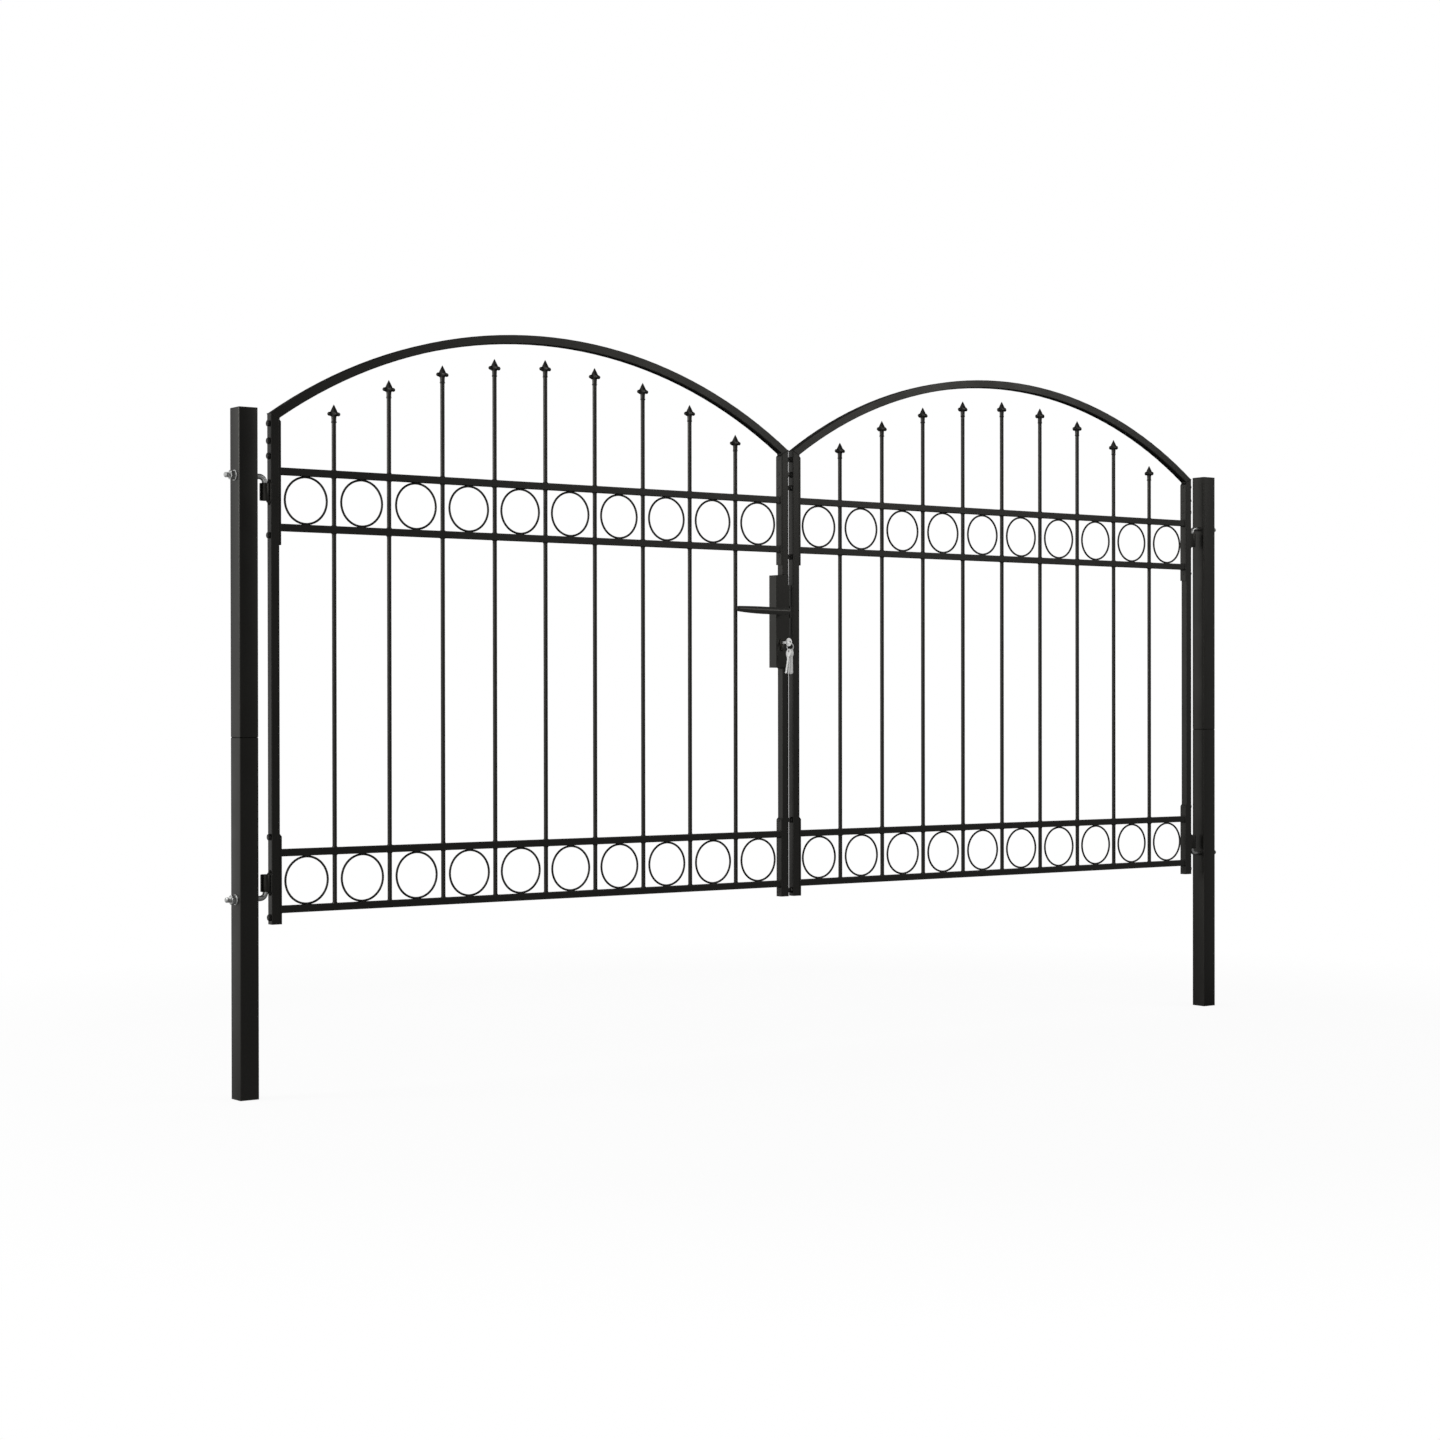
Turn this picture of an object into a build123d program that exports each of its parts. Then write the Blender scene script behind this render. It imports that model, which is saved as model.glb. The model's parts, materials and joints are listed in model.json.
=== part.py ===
from build123d import *
from math import sqrt
import os

# A double fence gate: two arched leaves of powder coated steel bars between two square posts.
# All sizes are millimetres. X runs along the gate to the right, Z is up and the front faces -Y.
# The origin is the middle of the left post's foot. The posts and both leaves lie on y = 0.

# Posts: square tube in two lengths, with a flat cap
POST_WIDTH = 45.0
POST_WALL = 2.0
POST_CORNER = 2.5
POST_HEIGHT = 1500.0
POST_JOINT_Z = 785.0
POST_SPACING = 2990.0
SPIGOT_REACH = 60.0
SPIGOT_CLEARANCE = 0.2
FOOT_THICKNESS = 3.0
CAP_THICKNESS = 3.0
CAP_PLUG = 14.0
CAP_ROUNDING = 1.2

# Hinges: a bent bolt through the post, its pin in a sleeve on the leaf
ROD_DIAMETER = 12.0
ROD_BEND = 13.0
ROD_CLEARANCE = 0.05
ROD_END_PROUD = 24.0
PIN_OFFSET = 49.0
UPPER_ROD_Z = 1353.0
LOWER_ROD_Z = 434.0
SLEEVE_GAP = 14.0
SLEEVE_LENGTH = 38.0
SLEEVE_DIAMETER = 22.0
SLEEVE_WEB = 16.0
PIN_SHORT = 5.0
NUT_FLATS = 19.0
NUT_HEIGHT = 10.0
WASHER_DIAMETER = 24.0
WASHER_THICKNESS = 2.0

# Leaf frame: square tube stiles and arch, mitred together
LEAF_LEFT = 60.0
LEAF_GAP = 14.5
FRAME = 20.0
FRAME_WALL = 1.5
FRAME_CORNER = 1.8
LEAF_FOOT_Z = 376.0
ARCH_SPRING_Z = 1492.0
ARCH_TOP_Z = 1717.0

# Panel: rails, pickets and rings, with end plates bolted to the stiles
RAIL = 16.0
RAIL_WALL = 1.2
RAIL_CORNER = 1.0
RAIL_TOPS = (1375.0, 1252.0, 540.0, 416.0)
PICKET_DIAMETER = 10.0
PICKET_SPACING = 138.8
PICKETS_EACH_SIDE = 4
RING_WIRE = 5.0
RING_BITE = 0.5
PLATE_THICKNESS = 4.0
UPPER_PLATE = (1205.0, 1480.0)
LOWER_PLATE = (376.0, 573.0)
PLATE_BEVEL = 5.0
PANEL_BOLT_HEIGHTS = (1470.0, 1432.0, 1399.0, 1226.0, 567.0, 391.0)
BOLT_DIAMETER = 8.0
BOLT_CLEARANCE = 0.1
BOLT_FLATS = 13.0
BOLT_HEAD = 5.3
BOLT_PROUD = 1.0

# Spear tips, whose points follow an arc under the arch
TIP_HEIGHT = 31.0
TIP_ARC_TOP_Z = 1663.0
TIP_ARC_RADIUS = 1160.0
TIP_CONE_RADIUS = 8.0
TIP_COLLAR_Z = 12.0
LOBE_RADIUS = 4.4
LOBE_REACH = 11.0
LOBE_Z = 10.0

# Lock: a box in the middle of the left leaf's lock stile
CASE_INSET = 3.5
CASE_WIDTH = 39.5
CASE_DEPTH = 29.0
CASE_WALL = 2.0
CASE_ROUNDING = 1.0
CASE_Z = (948.0, 1178.5)
SPINDLE_Z = 1088.0
SPINDLE_INSET = 24.75
SPINDLE_SIDE = 8.0
SPINDLE_HOLE = 13.0
SPINDLE_DISC_RADIUS = 9.0
SPINDLE_DISC_THICKNESS = 3.0
CYLINDER_Z = 1011.0
CYLINDER_DIAMETER = 17.0
CYLINDER_WEB = 10.0
CYLINDER_HEIGHT = 33.0
CYLINDER_PROUD = 3.0
CYLINDER_CLEARANCE = 0.2
FACE_PLATE_WIDTH = 20.0
FACE_PLATE_THICKNESS = 5.0
FACE_PLATE_LENGTH = 184.0
FACE_PLATE_CORNER = 3.0
KEEP_THICKNESS = 3.0
KEEP_SLOT_WIDTH = 12.0
KEEP_SLOT_HEIGHT = 30.0

# Lever
LEVER_REACH = 157.0
LEVER_RISE = 3.5
LEVER_PLANE = 22.5
LEVER_THICKNESS = 9.0
LEVER_HUB_RADIUS = 9.0
LEVER_MIDDLE = 9.4
LEVER_TIP = 7.2
LEVER_TIP_CORNER = 5.0
LEVER_ROUNDING = 3.0
NECK_DIAMETER = 15.0
NECK_GAP = 0.5

# Keys
KEY_THICKNESS = 2.0
KEY_BOW = 22.0
KEY_HOLE = 6.0
KEY_HOLE_INSET = 5.5
KEY_BLADE_WIDTH = 8.0
KEY_BLADE_LENGTH = 43.0
KEY_OUT = 14.0
KEYWAY_CLEARANCE = 0.2
KEY_RING_RADIUS = 10.0
KEY_RING_WIRE = 1.8
KEY_RING_SLACK = 1.5
KEY_SPREADS = (-4.5, -1.5, 1.5, 4.5)
KEY_LEANS = (9.6, 4.0, 0.0, -1.4)

# Places worked out from the sizes above
MIDDLE_X = POST_SPACING / 2
LEAF_RIGHT = MIDDLE_X - LEAF_GAP / 2
LEAF_CENTRE = (LEAF_LEFT + LEAF_RIGHT) / 2
LEAF_HALF = (LEAF_RIGHT - LEAF_LEFT) / 2
PANEL_LEFT = LEAF_LEFT + FRAME
PANEL_RIGHT = LEAF_RIGHT - FRAME
POST_FACE = POST_WIDTH / 2
ARCH_RISE = ARCH_TOP_Z - ARCH_SPRING_Z
ARCH_RADIUS = (LEAF_HALF ** 2 + ARCH_RISE ** 2) / (2 * ARCH_RISE)
ARCH_CENTRE_Z = ARCH_TOP_Z - ARCH_RADIUS
ARCH_INNER_Z = ARCH_CENTRE_Z + sqrt((ARCH_RADIUS - FRAME) ** 2 - (LEAF_HALF - FRAME) ** 2)
CASE_RIGHT = LEAF_RIGHT - CASE_INSET
CASE_X = CASE_RIGHT - CASE_WIDTH / 2
SPINDLE_X = LEAF_RIGHT - SPINDLE_INSET
CASE_FRONT = -CASE_DEPTH / 2
MIDDLE = Plane.YZ.offset(MIDDLE_X)

os.makedirs("parts", exist_ok=True)


def save(piece, name):
    """Label a finished piece and write it as its own file."""
    piece.part.label = name
    export_step(piece.part, f"parts/{name}.step")


def save_twins(piece, name):
    """Write the left piece and its mirror image on the other side of the gate's middle."""
    save(piece, f"left_{name}")
    with BuildPart() as twin:
        mirror(piece.part, about=MIDDLE)
    save(twin, f"right_{name}")


def picket_x(number):
    """Centre of a picket, counted from the middle one."""
    return LEAF_CENTRE + number * PICKET_SPACING


def tip_z(number):
    """Height of a spear's point, on an arc flatter than the frame's."""
    offset = number * PICKET_SPACING
    return TIP_ARC_TOP_Z - TIP_ARC_RADIUS + sqrt(TIP_ARC_RADIUS ** 2 - offset ** 2)


PICKETS = range(-PICKETS_EACH_SIDE, PICKETS_EACH_SIDE + 1)

# Lower length of the post: a tube closed at its foot, with a spigot for the upper length
with BuildPart() as post_lower:
    with BuildSketch():
        RectangleRounded(POST_WIDTH, POST_WIDTH, POST_CORNER)
    extrude(amount=FOOT_THICKNESS)
    with BuildSketch(Plane.XY.offset(FOOT_THICKNESS)):
        RectangleRounded(POST_WIDTH, POST_WIDTH, POST_CORNER)
        Rectangle(POST_WIDTH - 2 * POST_WALL, POST_WIDTH - 2 * POST_WALL, mode=Mode.SUBTRACT)
    extrude(amount=POST_JOINT_Z - FOOT_THICKNESS)
    inner = POST_WIDTH - 2 * POST_WALL
    with BuildSketch(Plane.XY.offset(POST_JOINT_Z - SPIGOT_REACH)):
        Rectangle(inner, inner)
        Rectangle(inner - 2 * POST_WALL, inner - 2 * POST_WALL, mode=Mode.SUBTRACT)
    extrude(amount=SPIGOT_REACH)
    spigot = inner - 2 * SPIGOT_CLEARANCE
    with BuildSketch(Plane.XY.offset(POST_JOINT_Z)):
        Rectangle(spigot, spigot)
        Rectangle(inner - 2 * POST_WALL, inner - 2 * POST_WALL, mode=Mode.SUBTRACT)
    extrude(amount=SPIGOT_REACH)
    with BuildSketch(Plane.YZ):
        with Locations((0, LOWER_ROD_Z)):
            Circle(ROD_DIAMETER / 2 + ROD_CLEARANCE)
    extrude(amount=POST_WIDTH, both=True, mode=Mode.SUBTRACT)
save_twins(post_lower, "post_lower")

# Upper length of the post
with BuildPart() as post_upper:
    with BuildSketch(Plane.XY.offset(POST_JOINT_Z)):
        RectangleRounded(POST_WIDTH, POST_WIDTH, POST_CORNER)
        Rectangle(POST_WIDTH - 2 * POST_WALL, POST_WIDTH - 2 * POST_WALL, mode=Mode.SUBTRACT)
    extrude(amount=POST_HEIGHT - CAP_THICKNESS - POST_JOINT_Z)
    with BuildSketch(Plane.YZ):
        with Locations((0, UPPER_ROD_Z)):
            Circle(ROD_DIAMETER / 2 + ROD_CLEARANCE)
    extrude(amount=POST_WIDTH, both=True, mode=Mode.SUBTRACT)
save_twins(post_upper, "post_upper")

# Flat cap with a plug that fits inside the tube
with BuildPart() as post_cap:
    with BuildSketch(Plane.XY.offset(POST_HEIGHT - CAP_THICKNESS)):
        RectangleRounded(POST_WIDTH, POST_WIDTH, POST_CORNER)
    extrude(amount=CAP_THICKNESS)
    fillet(post_cap.faces().sort_by(Axis.Z)[-1].edges(), CAP_ROUNDING)
    with BuildSketch(Plane.XY.offset(POST_HEIGHT - CAP_THICKNESS - CAP_PLUG)):
        Rectangle(spigot, spigot)
    extrude(amount=CAP_PLUG)
save_twins(post_cap, "post_cap")

# Bent hinge bolts: the upper pin points down, the lower pin points up
for name, rod_z, way in (("upper_hinge_bolt", UPPER_ROD_Z, -1), ("lower_hinge_bolt", LOWER_ROD_Z, 1)):
    pin_end = rod_z + way * (SLEEVE_GAP + SLEEVE_LENGTH - PIN_SHORT)
    with BuildPart() as hinge_bolt:
        with BuildLine(Plane.XZ) as rod_line:
            FilletPolyline(
                (-POST_FACE - ROD_END_PROUD, rod_z),
                (PIN_OFFSET, rod_z),
                (PIN_OFFSET, pin_end),
                radius=ROD_BEND,
            )
        with BuildSketch(Plane(origin=rod_line.line @ 0, z_dir=rod_line.line % 0)):
            Circle(ROD_DIAMETER / 2)
        sweep()
    save_twins(hinge_bolt, name)

# A washer and a nut on each hinge bolt, against the post's outer face
with BuildPart() as hinge_nuts:
    for rod_z in (UPPER_ROD_Z, LOWER_ROD_Z):
        with BuildSketch(Plane.YZ.offset(-POST_FACE)):
            with Locations((0, rod_z)):
                Circle(WASHER_DIAMETER / 2)
                Circle(ROD_DIAMETER / 2 + ROD_CLEARANCE, mode=Mode.SUBTRACT)
        extrude(amount=-WASHER_THICKNESS)
        with BuildSketch(Plane.YZ.offset(-POST_FACE - WASHER_THICKNESS)):
            with Locations((0, rod_z)):
                RegularPolygon(NUT_FLATS / 2, 6, major_radius=False)
                Circle(ROD_DIAMETER / 2 + ROD_CLEARANCE, mode=Mode.SUBTRACT)
        extrude(amount=-NUT_HEIGHT)
save_twins(hinge_nuts, "hinge_nuts")

# Hinge sleeves, each joined to the stile by a thick web
for name, rod_z, way in (("upper_hinge_sleeve", UPPER_ROD_Z, -1), ("lower_hinge_sleeve", LOWER_ROD_Z, 1)):
    near = rod_z + way * SLEEVE_GAP
    far = near + way * SLEEVE_LENGTH
    with BuildPart() as hinge_sleeve:
        with BuildSketch(Plane.XY.offset(min(near, far))):
            with Locations((PIN_OFFSET, 0)):
                Circle(SLEEVE_DIAMETER / 2)
            with Locations(((PIN_OFFSET + LEAF_LEFT) / 2, 0)):
                Rectangle(LEAF_LEFT - PIN_OFFSET, SLEEVE_WEB)
            with Locations((PIN_OFFSET, 0)):
                Circle(ROD_DIAMETER / 2 + ROD_CLEARANCE, mode=Mode.SUBTRACT)
        extrude(amount=SLEEVE_LENGTH)
    save_twins(hinge_sleeve, name)


def stile(outer_x, inner_x, lengths):
    """A stile as one or more lengths of square tube, mitred to the arch at its top.

    Each length is (foot, head), where a head of None is the mitre. All other ends are closed.
    """
    middle_x = (outer_x + inner_x) / 2
    with BuildPart() as tube:
        for foot, head in lengths:
            outer_head = ARCH_SPRING_Z if head is None else head
            inner_head = ARCH_INNER_Z if head is None else head
            with BuildSketch(Plane.XZ):
                with BuildLine():
                    Polyline(
                        (outer_x, foot),
                        (inner_x, foot),
                        (inner_x, inner_head),
                        (outer_x, outer_head),
                        close=True,
                    )
                make_face()
            extrude(amount=FRAME / 2, both=True)
        fillet(tube.edges().filter_by(Axis.Z), FRAME_CORNER)
        for foot, head in lengths:
            hollow_foot = foot + FRAME_WALL
            hollow_head = ARCH_SPRING_Z if head is None else head - FRAME_WALL
            with BuildSketch(Plane.XY.offset(hollow_foot)):
                with Locations((middle_x, 0)):
                    Rectangle(FRAME - 2 * FRAME_WALL, FRAME - 2 * FRAME_WALL)
            extrude(amount=hollow_head - hollow_foot, mode=Mode.SUBTRACT)
        for bolt_z in PANEL_BOLT_HEIGHTS:
            with BuildSketch(Plane.YZ.offset(middle_x)):
                with Locations((0, bolt_z)):
                    Circle(BOLT_DIAMETER / 2 + BOLT_CLEARANCE)
            extrude(amount=FRAME, both=True, mode=Mode.SUBTRACT)
    return tube


full_length = [(LEAF_FOOT_Z, None)]
lock_lengths = [(LEAF_FOOT_Z, CASE_Z[0]), (CASE_Z[1], None)]
save_twins(stile(LEAF_LEFT, PANEL_LEFT, full_length), "hinge_stile")
save(stile(LEAF_RIGHT, PANEL_RIGHT, lock_lengths), "left_lock_stile")
save(stile(LEAF_RIGHT + LEAF_GAP, PANEL_RIGHT + LEAF_GAP + 2 * FRAME, full_length), "right_lock_stile")

# Arch: the same square tube, bent to an arc and mitred at both ends
with BuildPart() as arch:
    with BuildSketch(Plane.XZ):
        with BuildLine():
            ThreePointArc(
                (LEAF_LEFT, ARCH_SPRING_Z),
                (LEAF_CENTRE, ARCH_TOP_Z),
                (LEAF_RIGHT, ARCH_SPRING_Z),
            )
            Line((LEAF_RIGHT, ARCH_SPRING_Z), (PANEL_RIGHT, ARCH_INNER_Z))
            ThreePointArc(
                (PANEL_RIGHT, ARCH_INNER_Z),
                (LEAF_CENTRE, ARCH_TOP_Z - FRAME),
                (PANEL_LEFT, ARCH_INNER_Z),
            )
            Line((PANEL_LEFT, ARCH_INNER_Z), (LEAF_LEFT, ARCH_SPRING_Z))
        make_face()
    extrude(amount=FRAME / 2, both=True)
    fillet(arch.edges().filter_by(GeomType.CIRCLE), FRAME_CORNER)
    with BuildSketch(Plane.XZ):
        with Locations((LEAF_CENTRE, ARCH_CENTRE_Z)):
            Circle(ARCH_RADIUS - FRAME_WALL)
            Circle(ARCH_RADIUS - FRAME + FRAME_WALL, mode=Mode.SUBTRACT)
    extrude(amount=FRAME / 2 - FRAME_WALL, both=True, mode=Mode.SUBTRACT)
save_twins(arch, "arch")

# Panel: four square tube rails, nine round pickets through them and two rows of rings
rail_left = PANEL_LEFT + PLATE_THICKNESS
rail_right = PANEL_RIGHT - PLATE_THICKNESS
picket_foot = RAIL_TOPS[3] - RAIL + RAIL_WALL / 2
with BuildPart() as panel:
    for rail_top in RAIL_TOPS:
        with BuildSketch(Plane.YZ.offset(rail_left)):
            with Locations((0, rail_top - RAIL / 2)):
                RectangleRounded(RAIL, RAIL, RAIL_CORNER)
                Rectangle(RAIL - 2 * RAIL_WALL, RAIL - 2 * RAIL_WALL, mode=Mode.SUBTRACT)
        extrude(amount=rail_right - rail_left)
    for number in PICKETS:
        with BuildSketch(Plane.XY.offset(picket_foot)):
            with Locations((picket_x(number), 0)):
                Circle(PICKET_DIAMETER / 2)
        extrude(amount=tip_z(number) - TIP_HEIGHT - picket_foot)
    for upper, lower in (RAIL_TOPS[0:2], RAIL_TOPS[2:4]):
        clear = upper - RAIL - lower
        ring_z = lower + clear / 2
        for number in range(-PICKETS_EACH_SIDE, PICKETS_EACH_SIDE + 2):
            with Locations(Location((picket_x(number - 0.5), 0, ring_z), (90, 0, 0))):
                Torus(clear / 2 + RING_BITE - RING_WIRE / 2, RING_WIRE / 2)
save_twins(panel, "panel")

# Flat plates on the ends of the rails, upper and lower pair, with one bevelled head corner
for name, (foot, head) in (("upper_end_plates", UPPER_PLATE), ("lower_end_plates", LOWER_PLATE)):
    with BuildPart() as end_plates:
        for stile_face, inward in ((PANEL_LEFT, 1), (PANEL_RIGHT, -1)):
            far_face = stile_face + inward * PLATE_THICKNESS
            with BuildSketch(Plane.XZ):
                with BuildLine():
                    Polyline(
                        (stile_face, foot),
                        (far_face, foot),
                        (far_face, head - PLATE_BEVEL),
                        (stile_face, head),
                        close=True,
                    )
                make_face()
            extrude(amount=FRAME / 2, both=True)
        for bolt_z in PANEL_BOLT_HEIGHTS:
            if foot < bolt_z < head:
                with BuildSketch(Plane.YZ.offset(PANEL_LEFT - FRAME)):
                    with Locations((0, bolt_z)):
                        Circle(BOLT_DIAMETER / 2 + BOLT_CLEARANCE)
                extrude(amount=PANEL_RIGHT - PANEL_LEFT + 2 * FRAME, mode=Mode.SUBTRACT)
    save_twins(end_plates, name)

# Hexagon bolts: the head on each stile's outer face, the end screwed through the end plate
with BuildPart() as panel_bolts:
    for outer_face, inward in ((LEAF_LEFT, 1), (LEAF_RIGHT, -1)):
        for bolt_z in PANEL_BOLT_HEIGHTS:
            with BuildSketch(Plane.YZ.offset(outer_face)):
                with Locations((0, bolt_z)):
                    RegularPolygon(BOLT_FLATS / 2, 6, major_radius=False)
            extrude(amount=-inward * BOLT_HEAD)
            with BuildSketch(Plane.YZ.offset(outer_face)):
                with Locations((0, bolt_z)):
                    Circle(BOLT_DIAMETER / 2)
            extrude(amount=inward * (FRAME + PLATE_THICKNESS + BOLT_PROUD))
save_twins(panel_bolts, "panel_bolts")

# Spear tips: a pointed cone over a collar of four round lobes
with BuildPart() as spear_tips:
    for number in PICKETS:
        foot = tip_z(number) - TIP_HEIGHT
        with BuildSketch(Plane.XZ):
            with BuildLine():
                Polyline(
                    (picket_x(number), foot),
                    (picket_x(number) + PICKET_DIAMETER / 2, foot),
                    (picket_x(number) + TIP_CONE_RADIUS, foot + TIP_COLLAR_Z),
                    (picket_x(number), foot + TIP_HEIGHT),
                    close=True,
                )
            make_face()
        revolve(axis=Axis((picket_x(number), 0, 0), (0, 0, 1)))
        with Locations((picket_x(number), 0, foot + LOBE_Z)):
            with PolarLocations(LOBE_REACH, 4):
                Sphere(LOBE_RADIUS)
save_twins(spear_tips, "spear_tips")


def cylinder_profile(grow):
    """The lock cylinder's outline: a round barrel over a straight web, drawn on the XZ plane."""
    with BuildSketch(Plane.XZ) as outline:
        with Locations((SPINDLE_X, CYLINDER_Z)):
            Circle(CYLINDER_DIAMETER / 2 + grow)
        drop = CYLINDER_HEIGHT - CYLINDER_DIAMETER
        with Locations((SPINDLE_X, CYLINDER_Z - drop / 2)):
            Rectangle(CYLINDER_WEB + 2 * grow, drop + 2 * grow)
        with Locations((SPINDLE_X, CYLINDER_Z - drop)):
            Circle(CYLINDER_WEB / 2 + grow)
    return outline.sketch


# Lock case: a closed box with openings for the spindle and the cylinder
with BuildPart() as lock_case:
    with BuildSketch(Plane.XY.offset(CASE_Z[0])):
        with Locations((CASE_X, 0)):
            Rectangle(CASE_WIDTH, CASE_DEPTH)
    extrude(amount=CASE_Z[1] - CASE_Z[0])
    fillet(lock_case.edges(), CASE_ROUNDING)
    with BuildSketch(Plane.XY.offset(CASE_Z[0] + CASE_WALL)):
        with Locations((CASE_X, 0)):
            Rectangle(CASE_WIDTH - 2 * CASE_WALL, CASE_DEPTH - 2 * CASE_WALL)
    extrude(amount=CASE_Z[1] - CASE_Z[0] - 2 * CASE_WALL, mode=Mode.SUBTRACT)
    with BuildSketch(Plane.XZ):
        with Locations((SPINDLE_X, SPINDLE_Z)):
            Circle(SPINDLE_HOLE / 2)
    extrude(amount=CASE_DEPTH, both=True, mode=Mode.SUBTRACT)
    extrude(cylinder_profile(CYLINDER_CLEARANCE), amount=CASE_DEPTH, both=True, mode=Mode.SUBTRACT)
save(lock_case, "lock_case")

# Lock cylinder, standing a little proud on both sides, with the keyway in front
with BuildPart() as lock_cylinder:
    extrude(cylinder_profile(0), amount=CASE_DEPTH / 2 + CYLINDER_PROUD, both=True)
    with BuildSketch(Plane.XZ.offset(CASE_DEPTH / 2 + CYLINDER_PROUD)):
        with Locations((SPINDLE_X, CYLINDER_Z)):
            Rectangle(KEY_THICKNESS + 2 * KEYWAY_CLEARANCE, KEY_BLADE_WIDTH + 2 * KEYWAY_CLEARANCE)
    extrude(amount=KEY_OUT - KEY_BLADE_LENGTH - KEYWAY_CLEARANCE, mode=Mode.SUBTRACT)
save(lock_cylinder, "lock_cylinder")

# Face plate on the case's side, a little proud of the stile
with BuildPart() as face_plate:
    with BuildSketch(Plane.YZ.offset(CASE_RIGHT)):
        with Locations((0, (CASE_Z[0] + CASE_Z[1]) / 2)):
            RectangleRounded(FACE_PLATE_WIDTH, FACE_PLATE_LENGTH, FACE_PLATE_CORNER)
    extrude(amount=FACE_PLATE_THICKNESS)
save(face_plate, "lock_face_plate")

# Keep: a plate for the lock on the right leaf's stile, with a latch slot and a bolt slot
with BuildPart() as keep_plate:
    with BuildSketch(Plane.YZ.offset(LEAF_RIGHT + LEAF_GAP - KEEP_THICKNESS)):
        with Locations((0, (CASE_Z[0] + CASE_Z[1]) / 2)):
            RectangleRounded(FACE_PLATE_WIDTH, FACE_PLATE_LENGTH, FACE_PLATE_CORNER)
        with Locations((0, SPINDLE_Z), (0, CYLINDER_Z)):
            Rectangle(KEEP_SLOT_WIDTH, KEEP_SLOT_HEIGHT, mode=Mode.SUBTRACT)
    extrude(amount=KEEP_THICKNESS)
save(keep_plate, "keep_plate")

# Lever: a slim bulging handle that points towards the hinges and rises a little to its blunt tip
lever_front = CASE_FRONT - LEVER_PLANE
tip_x = SPINDLE_X - LEVER_REACH
middle_x = SPINDLE_X - LEVER_REACH / 2
tip_height = SPINDLE_Z + LEVER_RISE
middle_height = SPINDLE_Z + LEVER_RISE / 4
with BuildPart() as lever:
    with BuildSketch(Plane.XZ.offset(-lever_front)):
        with BuildLine():
            ThreePointArc(
                (SPINDLE_X, SPINDLE_Z + LEVER_HUB_RADIUS),
                (SPINDLE_X + LEVER_HUB_RADIUS, SPINDLE_Z),
                (SPINDLE_X, SPINDLE_Z - LEVER_HUB_RADIUS),
            )
            Spline(
                (SPINDLE_X, SPINDLE_Z - LEVER_HUB_RADIUS),
                (middle_x, middle_height - LEVER_MIDDLE),
                (tip_x, tip_height - LEVER_TIP),
            )
            Line((tip_x, tip_height - LEVER_TIP), (tip_x, tip_height + LEVER_TIP))
            Spline(
                (tip_x, tip_height + LEVER_TIP),
                (middle_x, middle_height + LEVER_MIDDLE),
                (SPINDLE_X, SPINDLE_Z + LEVER_HUB_RADIUS),
            )
        make_face()
    extrude(amount=LEVER_THICKNESS / 2, both=True)
    fillet(lever.edges().filter_by(Axis.Y).group_by(Axis.X)[0], LEVER_TIP_CORNER)
    fillet(lever.faces().filter_by(Axis.Y).edges(), LEVER_ROUNDING)
    with BuildSketch(Plane.XZ.offset(-CASE_FRONT + NECK_GAP)):
        with Locations((SPINDLE_X, SPINDLE_Z)):
            Circle(NECK_DIAMETER / 2)
    extrude(amount=LEVER_PLANE - NECK_GAP)
save(lever, "lever")

# Square spindle through the case, with a disc behind that keeps it in place
with BuildPart() as spindle:
    with BuildSketch(Plane.XZ.offset(-CASE_FRONT + NECK_GAP)):
        with Locations((SPINDLE_X, SPINDLE_Z)):
            Rectangle(SPINDLE_SIDE, SPINDLE_SIDE)
    extrude(amount=-CASE_DEPTH - 2 * NECK_GAP)
    with BuildSketch(Plane.XZ.offset(CASE_FRONT - NECK_GAP)):
        with Locations((SPINDLE_X, SPINDLE_Z)):
            Circle(SPINDLE_DISC_RADIUS)
    extrude(amount=-SPINDLE_DISC_THICKNESS)
save(spindle, "lever_spindle")

# Key in the lock: its bow stands upright in front of the cylinder
bow_edge = CASE_FRONT - CYLINDER_PROUD - KEY_OUT
bow_y = bow_edge - KEY_BOW / 2
hole_y = bow_edge - KEY_BOW + KEY_HOLE_INSET
with BuildPart() as key:
    with BuildSketch(Plane.YZ.offset(SPINDLE_X - KEY_THICKNESS / 2)):
        with Locations((bow_y, CYLINDER_Z)):
            Circle(KEY_BOW / 2)
        blade_end = bow_edge + KEY_BLADE_LENGTH
        with Locations(((bow_y + blade_end) / 2, CYLINDER_Z)):
            Rectangle(blade_end - bow_y, KEY_BLADE_WIDTH)
        with Locations((hole_y, CYLINDER_Z)):
            Circle(KEY_HOLE / 2, mode=Mode.SUBTRACT)
    extrude(amount=KEY_THICKNESS)
save(key, "lock_key")

# Split ring that hangs in the key's hole
ring_z = CYLINDER_Z - KEY_RING_SLACK - KEY_RING_RADIUS
with BuildPart() as key_ring:
    with Locations(Location((SPINDLE_X, hole_y, ring_z), (90, 0, 0))):
        Torus(KEY_RING_RADIUS, KEY_RING_WIRE / 2)
save(key_ring, "key_ring")

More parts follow.
